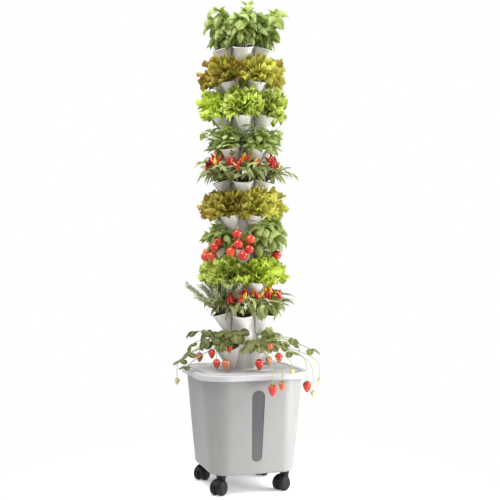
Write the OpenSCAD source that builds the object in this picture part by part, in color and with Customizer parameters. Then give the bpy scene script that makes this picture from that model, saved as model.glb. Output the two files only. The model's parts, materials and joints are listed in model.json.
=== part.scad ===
// Hydroponic growing tower: a water tank on casters, its lid, and ten planting tiers stacked on the lid.
// Units are millimetres and +Z is up. The front, with the level window, faces -Y.
// The origin lies on the floor, on the tower's axis.

/* [Tank] */
// Width of the tank across its flat sides at the top edge
tank_top_w = 307; // [298:1:312]
// Width of the tank across its flat sides at the bottom edge
tank_bottom_w = 255; // [248:1:262]
// Height of the tank body
tank_h = 286; // [276:1:296]
// Corner radius of the tank at its bottom edge
tank_corner_r = 50; // [44:1:54]
// Thickness of the tank's walls and floor
tank_wall = 3; // [2.5:0.1:3.5]
// Thickness of the rim that turns out under the lid
rim_t = 3; // [2:0.5:5]
// Height of the bevel round the tank's bottom edge
foot_bevel = 4; // [2:0.5:6]

/* [Level window] */
// Width of the window at its upper end
window_top_w = 39; // [34:1:44]
// Width of the window at its lower end
window_bottom_w = 31; // [26:1:34]
// Length of the window from end to end
window_l = 208; // [190:1:216]
// Height of the window's lower end above the tank's bottom edge
window_low = 37; // [32:1:42]
// Thickness of the window's pane
pane_t = 2; // [1.5:0.1:2.2]
// Width of the pane's flange behind the wall
pane_flange = 4; // [3:0.5:5]
// Gap round the pane and the other fixed inserts
fit_gap = 0.3; // [0.2:0.05:0.4]

/* [Lid] */
// Width of the lid across its flat sides
lid_w = 334; // [328:1:340]
// Corner radius of the lid
lid_corner_r = 84; // [78:1:90]
// Height of the lid from the skirt's lower edge to the top
lid_h = 16; // [13:0.5:20]
// Thickness of the lid's skirt
lid_wall = 3; // [2:0.5:4]
// Thickness of the lid's top plate
lid_plate = 4; // [3:0.5:5]
// Size of the bevel along the lid's top edge
lid_bevel = 2.5; // [1.5:0.5:3]
// Distance of the moulded groove from the lid's edge
groove_inset = 20; // [16:1:24]
// Width of the moulded groove
groove_w = 3; // [2:0.5:4]
// Depth of the moulded groove
groove_d = 1.2; // [0.8:0.1:1.6]
// Radius of the raised seat under the tower
seat_r = 88; // [82:1:92]
// Height of the raised seat
seat_h = 2; // [1:0.5:3]

/* [Filler] */
// Distance of the filler port from the tower's axis, along X and along Y
port_at = 97; // [95:1:99]
// Inner radius of the filler port
port_r = 30; // [26:1:31]
// Height of the collar round the filler port
port_collar_h = 3; // [2:0.5:4]
// Thickness of the filler flap
flap_t = 3; // [2:0.5:4]
// Radius of the flap's hinge pin
flap_pin_r = 2; // [1.5:0.1:2.4]
// Radius of the hinge's knuckles
knuckle_r = 4.5; // [4:0.1:5]
// Width of the flap's middle knuckle
knuckle_w = 16; // [12:1:20]
// Gap between the lid's top and the flap's knuckles
knuckle_gap = 2.6; // [2.3:0.1:3]
// Running clearance round the turning pins and axles
run_gap = 0.06; // [0.03:0.01:0.09]

/* [Cable outlet] */
// Distance of the cable grommet below the tank's top edge, measured along the rear wall
grommet_down = 34; // [30:1:40]
// Radius of the grommet's hole in the tank's wall
grommet_hole_r = 10; // [8:0.5:12]
// Radius of the grommet's bore
grommet_bore_r = 5; // [4:0.5:6]
// Thickness and overhang of the grommet's flanges
grommet_lip = 2; // [1.5:0.5:3]

/* [Column] */
// Height from one tier to the next
pitch = 98; // [96:0.5:102]
// Outer radius of the column
column_r = 38.5; // [38:0.1:39]
// Thickness of the column's wall
column_wall = 2.5; // [2:0.1:3]
// Height of the spigot that a tier raises into the next
spigot_h = 12; // [8:1:16]
// Width of the key on each spigot
key_w = 5; // [3:0.5:7]
// How far the key stands out from its spigot
key_out = 1; // [0.6:0.1:1.2]
// Radius of the opening from the column into each cup
feed_r = 8; // [6:0.5:9]

/* [Cups] */
// Length of a cup's axis from its rounded foot to its mouth
cup_l = 56; // [52:1:58]
// Angle between a cup's axis and the column
cup_tilt = 17.5; // [16:0.5:19]
// Half angle of a cup's cone
cup_flare = 18.3; // [17.6:0.1:19]
// Radius of a cup's rounded foot
cup_foot_r = 10.5; // [9.5:0.5:11.5]
// Distance of a cup's foot from the tower's axis
cup_out = 49; // [48.5:0.1:49.5]
// Thickness of a cup's wall
cup_wall = 2; // [1.6:0.1:2.2]
// How far the cup's rim stands out
rim_out = 1.2; // [0.6:0.2:1.6]

/* [Net pots] */
// Depth of a net pot below the cup's mouth
pot_depth = 40; // [34:1:42]
// Outer radius of a net pot under its rim
pot_top_r = 24.5; // [23:0.5:25]
// Outer radius of a net pot's base
pot_base_r = 12.5; // [10:0.5:12.5]
// Thickness of a net pot's wall
pot_wall = 1.2; // [1:0.1:1.5]
// Width of a net pot's slots
slot_w = 3.5; // [2.5:0.5:4]
// How far the growing medium lies below the cup's mouth
medium_drop = 2; // [1:0.5:3]

/* [Pump] */
// Length of the pump along X
pump_l = 64; // [56:1:70]
// Width of the pump along Y
pump_w = 46; // [40:1:50]
// Height of the pump without its feet
pump_h = 48; // [40:1:52]
// Height of the pump's suction feet
pump_foot_h = 5; // [4:0.5:7]
// Outer radius of the riser pipe
riser_r = 10; // [9:0.5:11]
// Thickness of the riser pipe's wall
riser_wall = 2; // [1.5:0.1:2.5]

/* [Top cap] */
// Thickness of the cap over the column
cap_t = 3; // [2:0.5:4]
// Height of the water gap under the cap
cap_gap = 6; // [5:0.5:8]

/* [Casters] */
// Distance of each swivel axis from the tower's axis, along X and along Y
caster_at = 96; // [94:0.5:98]
// Height from the floor to the tank's bottom edge
caster_h = 57; // [56:0.5:59]
// Radius of a wheel
wheel_r = 21.5; // [21:0.1:21.8]
// Width of one wheel
wheel_w = 17; // [15:0.5:18]
// Distance from the swivel axis to the axle
trail = 14.5; // [13.5:0.5:15]
// Thickness of the web between the two wheels
web_t = 6; // [5:0.5:8]
// Radius of the round collar under the tank
collar_r = 14.5; // [13:0.5:16]
// Height of the round collar
collar_h = 8; // [6:0.5:8.5]
// Radius of the swivel stem
stem_r = 5; // [4:0.5:6]
// Length of the swivel stem inside the tank's socket
stem_l = 22; // [18:1:26]
// Radius of the axle
axle_r = 2.5; // [2:0.1:3]
// Gap between parts that turn beside each other
side_gap = 0.5; // [0.3:0.1:0.6]

/* [Plants] */
// Thickness of a leaf
leaf_t = 1.2; // [1:0.1:1.6]
// Radius of a plant's main stem
stalk_r = 2.2; // [1.8:0.1:2.6]
// Radius of a cherry tomato
tomato_r = 13.5; // [12:0.5:14]
// Radius of a strawberry at its shoulder
berry_r = 12.5; // [11:0.5:13]
// Length of a strawberry
berry_l = 31; // [28:1:33]
// Length of a chilli pod
pod_l = 24; // [20:1:26]
// Radius of a chilli pod at its shoulder
pod_r = 5; // [4:0.5:5.5]

/* [Hidden] */
$fn = 48;
shell_fn = 64;
leaf_fn = 16;
e = 0.01;
tiers = 10;
cups = 5;
cup_step = 360 / cups;
tank_z = caster_h;
tank_c = tank_bottom_w / 2 - tank_corner_r;
tank_taper = atan((tank_top_w - tank_bottom_w) / 2 / tank_h);
lid_play = 0.5;
rim_w = lid_w / 2 - lid_wall - lid_play - tank_top_w / 2;
lid_top = tank_z + tank_h + fit_gap + lid_plate;
seat_top = lid_top + seat_h;
base_flange_t = 2;
base_flange_r = column_r + 18;
base_hole_r = column_r - 7;
base_sleeve_h = 18;
tower_z = seat_top + base_flange_t;
tower_top = tower_z + tiers * pitch;
bore_r = column_r - column_wall;
spigot_r = bore_r - fit_gap;
spigot_in = spigot_r - column_wall;
cup_foot_z = cup_foot_r + 0.5;
rim_h = 3;
feed_at = 0.36 * pitch;
mouth_r = cup_foot_r / cos(cup_flare) + cup_l * tan(cup_flare);
medium_l = cup_l - medium_drop;
plant_r = cup_out + medium_l * sin(cup_tilt);
plant_z = cup_foot_z + medium_l * cos(cup_tilt);
seat_gap = 0.1;
pump_z = tank_z + tank_wall;
riser_z = pump_z + pump_foot_h + pump_h;
riser_top = tower_top + spigot_h - 2;
cap_z = tower_top + spigot_h + cap_gap;
outlet_h = 15;
outlet_w = 6;
pump_foot_in = 9;
pump_edge_r = 8;
vent_step = 4.4;
vent_w = 2;
port_wall = 4;
hinge_back = 13;
hinge_y = port_at + port_r + hinge_back;
hinge_z = lid_top + knuckle_gap + knuckle_r;
flap_r = port_r + 2 * port_wall;
flap_skirt_r = port_r - 1.5;
flap_skirt_t = 2;
thumb_w = 16;
thumb_l = 4;
ear_w = 6;
socket_wall = 6;
wheel_y = web_t / 2 + side_gap;
wheel_clear = 1.2;
hood_t = 2;
// Turn of each caster about its swivel axis, in degrees: front left, front right, back left, back right
caster_turn = [-136, -148, -132, -140];
caster_side = [[-1, -1], [1, -1], [-1, 1], [1, 1]];
wall_in = tank_wall * cos(tank_taper);
grommet_up = tank_h / cos(tank_taper) - grommet_down;
spigot_lead = 1;
spigot_root = 8;
foot_steps = 4;
pot_rim_r = mouth_r - 1.2;
pot_rim_h = 1.6;
slot_pairs = 4;
slot_low = 5;
slot_high = 7;
collar_z = caster_h - side_gap - collar_h;
hood_w = web_t + wheel_w;
axle_in = 11;
edge_in = 3.5;
edge_out = 8;
crown_r = 6;
root_up = 2.5;
sprig_turns = [-70, -35, -8, 15, 45, 80];
sprig_r = 7;
sprig_low = 30;
pod_gap = 0.4;
// Leafy stems: height, lean, number of leaves, length and width of a leaf, and spread of the leaves
basil_stem = [112, 24, 8, 46, 32, 150];
mint_stem = [70, 36, 9, 44, 26, 95];
chilli_stem = [58, 36, 8, 60, 13, 100];
tomato_stem = [56, 32, 7, 44, 26, 100];
low_basil_stem = [60, 32, 8, 50, 34, 95];
// Heights of the lettuces' hearts, tiers 2, 3 and 6, and tier 8
heart_l = 78;
low_heart_l = 60;
// Strawberry leaves: reach, direction, height, length of a leaflet and its rise
petioles = [[44, -58, 18, 26, 8], [60, 4, 22, 28, 4], [40, 56, 36, 26, 8]];
// Hanging strawberries: place, heights of the top and of the stalk's bend above the lid, and cup
berries = [
  [-117, -68, 65.7, 76.7, 3], [-107, -84, 37.7, 73.7, 3], [-82, -97, 37.7, 75.7, 3],
  [10, -124, 37.7, 74.7, 4], [68, -127, 54.7, 76.7, 4], [29, -188, -27.3, 24.7, 4],
  [58, -188, -20.3, 27.7, 4], [189, -39, -44.3, 24.7, 0], [-190, 60, -31.3, 20.7, 2],
  [38, 124, 38.7, 74.7, 1], [-110, 100, 37.7, 72.7, 2],
];
// Cherry tomatoes: place, height of the centre above the cups' mouths, and the cup that it hangs from
tomatoes = [
  [-48, -94, 39.2, 1], [-11, -106, 24.2, 1], [-48, -104, 9.2, 1], [-66, -94, -11.8, 1],
  [-17, -110, -4.8, 1], [-37, -116, -22.8, 1], [-90, -40, 18.2, 0], [-110, 4, -13.8, 0],
  [-112, -52, -24.8, 0], [-124, -26, -26.8, 0], [82, -68, -20.8, 2], [93, 66, -14.8, 3],
  [102, 34, -18.8, 3], [-30, 106, -18.8, 4], [-1, 111, -21.8, 4],
];

// Tank
function tank_r(z) = tank_corner_r + (tank_top_w - tank_bottom_w) / 2 * z / tank_h;
module tank_form(z0, z1, grow, bevel = 0) {
  hull() for (x = [-1, 1], y = [-1, 1]) translate([x * tank_c, y * tank_c, z0]) {
    if (bevel > 0)
      cylinder(h = bevel, r1 = tank_r(z0) + grow - bevel, r2 = tank_r(z0 + bevel) + grow, $fn = shell_fn);
    translate([0, 0, bevel])
      cylinder(h = z1 - z0 - bevel, r1 = tank_r(z0 + bevel) + grow, r2 = tank_r(z1) + grow, $fn = shell_fn);
  }
}
module on_front_wall() translate([0, -tank_bottom_w / 2, tank_z]) rotate([tank_taper, 0, 0]) children();
// The grommet's axis: +Z points out of the tank, and z = 0 lies on the wall's outer face
module on_rear_wall() translate([0, tank_bottom_w / 2, tank_z]) rotate([-tank_taper, 0, 0])
  translate([0, 0, grommet_up]) rotate([-90, 0, 0]) children();
// A long pill standing on the window's lower end, grown all round, between two depths behind the wall's face
module window_pill(grow, y0, y1) {
  hull() for (end = [[window_low + window_bottom_w / 2, window_bottom_w / 2],
                     [window_low + window_l - window_top_w / 2, window_top_w / 2]])
    translate([0, y1, end[0]]) rotate([90, 0, 0]) cylinder(h = y1 - y0, r = end[1] + grow, $fn = shell_fn);
}
module tank() color("#d8d8d4") difference() {
  union() {
    difference() {
      translate([0, 0, tank_z]) union() {
        tank_form(0, tank_h, 0, foot_bevel);
        tank_form(tank_h - rim_t, tank_h, rim_w);
      }
      translate([0, 0, tank_z]) tank_form(tank_wall, tank_h + 1, -tank_wall);
    }
    for (s = caster_side) translate([s[0] * caster_at, s[1] * caster_at, tank_z + 1])
      cylinder(h = stem_l + socket_wall, r = stem_r + socket_wall);
  }
  on_front_wall() window_pill(0, -1, tank_wall + 1);
  on_rear_wall() cylinder(h = 2 * tank_wall + 2, r = grommet_hole_r, center = true);
  for (s = caster_side) translate([s[0] * caster_at, s[1] * caster_at, tank_z - 1])
    cylinder(h = stem_l + 2.5, r = stem_r + run_gap);
}
module level_window() color("#767779") on_front_wall() {
  window_pill(-fit_gap, wall_in - pane_t, wall_in + 1);
  window_pill(pane_flange, wall_in + seat_gap, wall_in + seat_gap + 1.5);
}

// Lid
module lid_form(z0, z1, inset, bevel = 0) {
  c = lid_w / 2 - lid_corner_r;
  r = lid_corner_r - inset;
  hull() for (x = [-1, 1], y = [-1, 1]) translate([x * c, y * c, z0]) {
    cylinder(h = z1 - z0 - bevel, r = r, $fn = shell_fn);
    if (bevel > 0) cylinder(h = z1 - z0, r = r - bevel, $fn = shell_fn);
  }
}
module lid() color("#ebebee") difference() {
  union() {
    difference() {
      lid_form(lid_top - lid_h, lid_top, 0, lid_bevel);
      lid_form(lid_top - lid_h - 1, lid_top - lid_plate, lid_wall);
      difference() {
        lid_form(lid_top - groove_d, lid_top + 1, groove_inset);
        lid_form(lid_top - groove_d - 1, lid_top + 2, groove_inset + groove_w);
      }
    }
    translate([0, 0, lid_top - 1]) cylinder(h = seat_h + 1, r1 = seat_r + 1, r2 = seat_r, $fn = 96);
    translate([port_at, port_at, lid_top - 1]) cylinder(h = port_collar_h + 1, r = port_r + port_wall);
    for (s = [-1, 1]) translate([port_at + s * (knuckle_w / 2 + side_gap + ear_w / 2), hinge_y, 0]) {
      translate([-ear_w / 2, 0, hinge_z]) rotate([0, 90, 0]) cylinder(h = ear_w, r = knuckle_r);
      translate([-ear_w / 2, -knuckle_r, lid_top - 1]) cube([ear_w, 2 * knuckle_r, hinge_z - lid_top + 1]);
    }
  }
  translate([0, 0, lid_top - lid_h]) cylinder(h = lid_h + seat_h + 1, r = base_hole_r);
  translate([port_at, port_at, lid_top - lid_h]) cylinder(h = lid_h + port_collar_h + 1, r = port_r);
  translate([port_at - knuckle_w, hinge_y, hinge_z]) rotate([0, 90, 0])
    cylinder(h = 2 * knuckle_w, r = flap_pin_r + run_gap / 2);
}
module filler_flap() color("#ebebee") {
  z = lid_top + port_collar_h + fit_gap;
  difference() {
    union() {
      translate([port_at, port_at, z]) cylinder(h = flap_t, r = flap_r);
      translate([port_at, port_at, z - flap_t]) difference() {
        cylinder(h = flap_t + 1, r = flap_skirt_r);
        translate([0, 0, -1]) cylinder(h = flap_t + 1, r = flap_skirt_r - flap_skirt_t);
      }
      translate([port_at - knuckle_w / 2, port_at + flap_r - port_wall, z])
        cube([knuckle_w, hinge_y - port_at - flap_r + port_wall, flap_t]);
      translate([port_at - knuckle_w / 2, hinge_y, hinge_z]) rotate([0, 90, 0])
        cylinder(h = knuckle_w, r = knuckle_r);
      translate([port_at - thumb_w / 2, port_at - flap_r - thumb_l, z]) cube([thumb_w, 2 * thumb_l, flap_t]);
    }
    translate([port_at - knuckle_w, hinge_y, hinge_z]) rotate([0, 90, 0])
      cylinder(h = 2 * knuckle_w, r = flap_pin_r + run_gap);
  }
}
module flap_pin() color("#b9bbbf")
  translate([port_at - knuckle_w / 2 - side_gap - ear_w, hinge_y, hinge_z]) rotate([0, 90, 0])
    cylinder(h = knuckle_w + 2 * side_gap + 2 * ear_w, r = flap_pin_r);
module cable_grommet() color("#2b2b2d") on_rear_wall() rotate_extrude() polygon([
  [grommet_bore_r, -wall_in - grommet_lip], [grommet_hole_r + grommet_lip, -wall_in - grommet_lip],
  [grommet_hole_r + grommet_lip, -wall_in - seat_gap], [grommet_hole_r - fit_gap, -wall_in - seat_gap],
  [grommet_hole_r - fit_gap, seat_gap], [grommet_hole_r + grommet_lip, seat_gap],
  [grommet_hole_r + grommet_lip - 1, grommet_lip], [grommet_bore_r, grommet_lip]]);

// Tower
// The ring that a tier raises into the next one, with its key
module spigot(z) {
  translate([0, 0, z]) rotate_extrude() polygon([[spigot_in, 0], [spigot_r, 0],
    [spigot_r, spigot_h - spigot_lead], [spigot_r - spigot_lead, spigot_h], [spigot_in, spigot_h]]);
  translate([spigot_r - 1, -key_w / 2, z]) cube([1 + key_out, key_w, spigot_h - spigot_lead - 1]);
}
module tower_base() color("#f0f0f2") {
  z = seat_top + seat_gap;
  difference() {
    union() {
      translate([0, 0, z]) cylinder(h = tower_z - z, r1 = base_flange_r, r2 = base_flange_r - 1, $fn = 96);
      rotate([0, 0, tier_turn(tiers) + 180]) spigot(tower_z - e);
      translate([0, 0, seat_top - base_sleeve_h]) cylinder(h = base_sleeve_h + 1, r = base_hole_r - fit_gap);
    }
    translate([0, 0, seat_top - base_sleeve_h - 1])
      cylinder(h = base_sleeve_h + spigot_h + 5, r = base_hole_r - 3);
  }
}
function tier_turn(n) = n % 2 == 1 ? 180 : 0;
function tier_z(n) = tower_z + (tiers - n) * pitch;
function cup_at(z, r) = r / cos(cup_flare) + z * tan(cup_flare);
function cup_foot(r) = [for (i = [0:foot_steps]) let (a = -90 + (90 - cup_flare) * i / foot_steps)
  [r * cos(a), r * sin(a)]];
module on_tier(n) translate([0, 0, tier_z(n)]) rotate([0, 0, tier_turn(n)]) children();
module on_cup(k) rotate([0, 0, k * cup_step]) translate([cup_out, 0, cup_foot_z])
  rotate([0, cup_tilt, 0]) children();
module cup_outside() rotate_extrude() polygon(concat(cup_foot(cup_foot_r), [
  [cup_at(cup_l - 1.5 * rim_h, cup_foot_r), cup_l - 1.5 * rim_h], [mouth_r + rim_out, cup_l - rim_h],
  [mouth_r + rim_out, cup_l], [0, cup_l]]));
module cup_inside() rotate_extrude() polygon(concat(cup_foot(cup_foot_r - cup_wall), [
  [cup_at(cup_l + 2, cup_foot_r - cup_wall), cup_l + 2], [0, cup_l + 2]]));
module tier(n) color("#f4f4f5") on_tier(n) difference() {
  union() {
    rotate_extrude() polygon([[0, 0], [column_r, 0], [column_r, pitch], [0, pitch]]);
    spigot(pitch);
    for (k = [0:cups - 1]) on_cup(k) cup_outside();
  }
  rotate_extrude() polygon([[0, -1], [bore_r, -1], [bore_r, pitch - spigot_root - 3], [spigot_in, pitch - spigot_root],
    [spigot_in, pitch + spigot_h + 1], [0, pitch + spigot_h + 1]]);
  for (k = [0:cups - 1]) {
    on_cup(k) cup_inside();
    rotate([0, 0, k * cup_step]) translate([bore_r - 3, 0, feed_at]) rotate([0, 90, 0])
      cylinder(h = 12, r = feed_r);
  }
  rotate([0, 0, 180]) translate([bore_r - 1, -key_w / 2 - fit_gap, -1])
    cube([1 + key_out + fit_gap / 3, key_w + 2 * fit_gap, spigot_h + 1]);
}
module net_pot() difference() {
  rotate_extrude() polygon([[0, cup_l - pot_depth], [pot_base_r, cup_l - pot_depth], [pot_top_r, cup_l + seat_gap],
    [pot_rim_r, cup_l + seat_gap], [pot_rim_r, cup_l + pot_rim_h], [pot_top_r - pot_wall, cup_l + pot_rim_h],
    [pot_base_r - pot_wall, cup_l - pot_depth + pot_wall], [0, cup_l - pot_depth + pot_wall]]);
  for (i = [0:slot_pairs - 1]) rotate([0, 0, i * 180 / slot_pairs])
    translate([-pot_top_r, -slot_w / 2, cup_l - pot_depth + slot_low])
      cube([2 * pot_top_r, slot_w, pot_depth - slot_low - slot_high]);
}
module net_pots(n) color("#1f1f20") on_tier(n) for (k = [0:cups - 1]) on_cup(k) net_pot();
module growing_medium() color("#3a2a20") for (n = [1:tiers]) on_tier(n) for (k = [0:cups - 1]) on_cup(k) {
  low = cup_l - pot_depth + pot_wall + seat_gap;
  slope = (pot_top_r - pot_base_r) / pot_depth;
  translate([0, 0, low]) cylinder(h = medium_l - low, r1 = pot_base_r - pot_wall - fit_gap,
    r2 = pot_base_r - pot_wall - fit_gap + (medium_l - low) * slope);
}
module top_cap() color("#f4f4f5") translate([0, 0, tower_top]) difference() {
  union() {
    translate([0, 0, seat_gap]) rotate_extrude() polygon([[spigot_r + fit_gap, 0], [column_r, 0],
      [column_r, spigot_h + cap_gap], [column_r - 8, spigot_h + cap_gap + cap_t],
      [0, spigot_h + cap_gap + cap_t + 1], [0, spigot_h + cap_gap], [spigot_r + fit_gap, spigot_h + cap_gap]]);
    translate([0, 0, spigot_h - 6]) cylinder(h = cap_gap + 7, r = riser_r + 3);
  }
  translate([0, 0, spigot_h - 7]) cylinder(h = cap_gap + 6, r = riser_r + fit_gap);
  for (a = [0, 90]) rotate([0, 0, a]) translate([-riser_r - 5, -outlet_w / 2, spigot_h - 2])
    cube([2 * riser_r + 10, outlet_w, cap_gap + 1]);
  rotate([0, 0, 180 + tier_turn(1)]) translate([-spigot_r - key_out - 1, -key_w / 2 - fit_gap, -1])
    cube([key_out + 2, key_w + 2 * fit_gap, spigot_h + 1]);
}

// Pump and riser
module pump() color("#26282b") translate([0, 0, pump_z]) {
  for (x = [-1, 1], y = [-1, 1])
    translate([x * (pump_l / 2 - pump_foot_in), y * (pump_w / 2 - pump_foot_in), seat_gap])
      cylinder(h = pump_foot_h, r1 = 8, r2 = 4);
  difference() {
    translate([0, 0, pump_foot_h]) linear_extrude(pump_h) union() {
      square([pump_l, pump_w - 2 * pump_edge_r], center = true);
      square([pump_l - 2 * pump_edge_r, pump_w], center = true);
      for (x = [-1, 1], y = [-1, 1])
        translate([x * (pump_l / 2 - pump_edge_r), y * (pump_w / 2 - pump_edge_r)]) circle(r = pump_edge_r);
    }
    for (i = [-3:3]) translate([-pump_l / 2 - 1, i * vent_step - vent_w / 2, pump_foot_h + 6])
      cube([5, vent_w, pump_h - 16]);
  }
  translate([0, 0, pump_foot_h + pump_h]) cylinder(h = outlet_h, r = riser_r - riser_wall - seat_gap);
}
module riser_pipe() color("#e3e4e6") translate([0, 0, riser_z + seat_gap]) difference() {
  cylinder(h = riser_top - riser_z - seat_gap, r = riser_r);
  translate([0, 0, -1]) cylinder(h = riser_top - riser_z + 2, r = riser_r - riser_wall);
}

// Casters
module on_caster(i) translate([caster_side[i][0] * caster_at, caster_side[i][1] * caster_at, 0])
  rotate([0, 0, caster_turn[i]]) children();
module along_axle(h, r, y) translate([trail, y + h / 2, wheel_r]) rotate([90, 0, 0]) cylinder(h = h, r = r);
module caster(i) color("#1d1e20") on_caster(i) difference() {
  union() {
    translate([0, 0, collar_z]) cylinder(h = collar_h, r = collar_r);
    translate([0, 0, collar_z + 1]) cylinder(h = caster_h + stem_l - collar_z - 1, r = stem_r);
    difference() {
      union() {
        intersection() {
          along_axle(hood_w, wheel_r + wheel_clear + hood_t, 0);
          translate([-trail, -hood_w / 2, wheel_r * 1.25]) cube([2 * trail + wheel_r, hood_w, wheel_r * 2]);
        }
        translate([0, 0, wheel_r]) cylinder(h = collar_z - wheel_r + 1, r = collar_r - 2);
      }
      along_axle(2 * wheel_w + web_t, wheel_r + wheel_clear, 0);
    }
    along_axle(web_t, wheel_r - 4, 0);
    translate([-stem_r, -web_t / 2, wheel_r]) cube([trail + stem_r, web_t, collar_z - wheel_r + 1]);
  }
  along_axle(web_t + 2, axle_r + run_gap / 2, 0);
}
module axle(i) color("#b9bbbf") on_caster(i) along_axle(web_t + 2 * axle_in, axle_r, 0);
function quarter(cx, cy, rx, ry, a0) =
  [for (i = [0:3]) [cx + rx * cos(a0 + 30 * i), cy + ry * sin(a0 + 30 * i)]];
module wheel(i, side) color("#232426") on_caster(i)
  translate([trail, side * wheel_y, wheel_r]) rotate([-side * 90, 0, 0]) rotate_extrude() polygon(concat([[0, axle_in + 1], [axle_r + run_gap, axle_in + 1], [axle_r + run_gap, 0],
    [wheel_r - edge_in - 1, 0]], quarter(wheel_r - edge_in, edge_in, edge_in, edge_in, -90),
    quarter(wheel_r - edge_out, wheel_w - edge_out + 1, edge_out, edge_out - 1, 0), [[0, wheel_w]]));

// Plants
module on_plant(n, k) on_tier(n) rotate([0, 0, k * cup_step]) translate([plant_r, 0, plant_z]) children();
module blade(l, w) linear_extrude(leaf_t) polygon([[0, -1], [0.4 * l, -0.5 * w], [0.75 * l, -0.38 * w], [l, 0],
  [0.75 * l, 0.38 * w], [0.4 * l, 0.5 * w], [0, 1]]);
module rod(p, q, r) {
  d = q - p;
  translate(p) rotate([0, acos(d[2] / norm(d)), atan2(d[1], d[0])])
    cylinder(h = norm(d), r = r, $fn = leaf_fn);
}
module stub(k, r) on_cup(k) translate([0, 0, medium_l]) cylinder(h = 9, r = r);
// A leafy stem that leans out of its cup: its leaves climb it, within its spread either side of outwards
module leafy(stem, taller = 0) {
  h = stem[0] + taller;
  lean = stem[1];
  last = stem[2] - 1;
  rotate([0, lean, 0]) {
    cylinder(h = h, r = stalk_r, $fn = leaf_fn);
    for (i = [0:last]) let (t = i / last, a = stem[5] * sin(i * 137.5 + 40))
      translate([0, 0, h * (0.2 + 0.78 * t)]) rotate([0, 0, a]) rotate([0, lean * 0.4 - 10 - 55 * t, 0])
        blade(stem[3] * (1 - 0.3 * t), stem[4] * (1 - 0.25 * t));
  }
}
module lettuce_leaf(l, w, up) rotate([0, -up, 0]) {
  linear_extrude(leaf_t) polygon([[0, -2], [0.62 * l, -0.5 * w], [0.62 * l, 0.5 * w], [0, 2]]);
  translate([0.56 * l, 0, leaf_t * 0.1]) rotate([0, 32, 0]) linear_extrude(leaf_t) polygon([[0, -0.4 * w],
    [0.22 * l, -0.54 * w], [0.42 * l, -0.2 * w], [0.44 * l, 0.16 * w], [0.24 * l, 0.54 * w], [0, 0.4 * w]]);
}
module lettuce(heart) {
  for (i = [0:3]) let (a = -90 + 60 * i) rotate([0, 0, a]) translate([1 + 0.3 * i, 0, 1 + 0.9 * i])
    lettuce_leaf(50 + 34 * cos(a), 46, 33 + i);
  for (i = [0:1]) let (a = -40 + 70 * i) rotate([0, 0, a]) translate([1.7 + 0.4 * i, 0, 0.4 + i])
    lettuce_leaf(heart + 8 * cos(a), 40, 61 + 2 * i);
}
// Pods that stand up in a fan, each on a twig from the leaning stem
function pod_foot(i) = polar(36 + 5 * (i % 2), -64 + 32 * i, 40 + 8 * (i % 3));
module chilli_foliage() {
  leafy(chilli_stem);
  for (i = [0:4]) {
    r = 0.9 + 0.04 * i;
    rod((26 + 5 * i) * [sin(chilli_stem[1]), 0, cos(chilli_stem[1])], pod_foot(i) - [0, 0, r + pod_gap], r);
  }
}
module pods() for (i = [0:4]) translate(pod_foot(i)) rotate([0, 0, -64 + 32 * i]) rotate([0, 14, 0])
  cylinder(h = pod_l, r1 = pod_r, r2 = 1, $fn = leaf_fn);
module rosemary() for (i = [0:len(sprig_turns) - 1])
  rotate([0, 0, sprig_turns[i]]) translate([3, 0, 0]) rotate([0, 44 - 4 * (i % 2), 0]) {
    cylinder(h = sprig_low + 4, r = stalk_r - 0.4 - 0.1 * i, $fn = leaf_fn);
    translate([0, 0, sprig_low]) cylinder(h = 66 + 10 * (i % 3), r1 = sprig_r, r2 = 2, $fn = leaf_fn);
  }
module trefoil(p, a, up, l) translate(p) rotate([0, 0, a]) for (s = [-1:1])
  rotate([0, 0, 72 * s]) rotate([0, -up - 3 * s, 0]) translate([-1.3 - 0.2 * s, 0, leaf_t * (0.2 * s - 0.5)])
    blade(l, 0.85 * l);
function polar(r, a, z) = [r * cos(a), r * sin(a), z];
// A petiole from the crown with its three leaflets
module strawberry_leaf(r, a, z, l, up) {
  rod(polar(3.5, a, 0), polar(r, a, z), 1.3 + a / 900);
  trefoil(polar(r, a, z), a, up, l);
}
module strawberry_foliage() for (p = petioles) strawberry_leaf(p[0], p[1], p[2], p[3], p[4]);
// Whether the plant in cup k of tier n rises from a thick crown
function is_crowned(n, k) = n == 2 || n == 3 || n == 6 || n == 8 || n == 10 || (n == 9 && k == 0);
module plants(n) color("#4f7f2a") for (k = [0:cups - 1]) {
  on_tier(n) stub(k, is_crowned(n, k) ? crown_r : stalk_r + 0.8);
  on_plant(n, k) translate([0, 0, root_up]) {
    if (n == 1) for (s = [-1, 1]) rotate([0, 0, 50 * s]) leafy(basil_stem, -6 * s);
    if (n == 2 || n == 3 || n == 6) lettuce(heart_l);
    if (n == 8) lettuce(low_heart_l);
    if (n == 4) leafy(mint_stem);
    if (n == 5 || (n == 9 && k != 0)) chilli_foliage();
    if (n == 7 && (k == 0 || k == 3)) leafy(tomato_stem);
    if (n == 7 && (k == 2 || k == 4)) leafy(low_basil_stem);
    if (n == 9 && k == 0) rosemary();
    if (n == 10) strawberry_foliage();
  }
}
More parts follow.
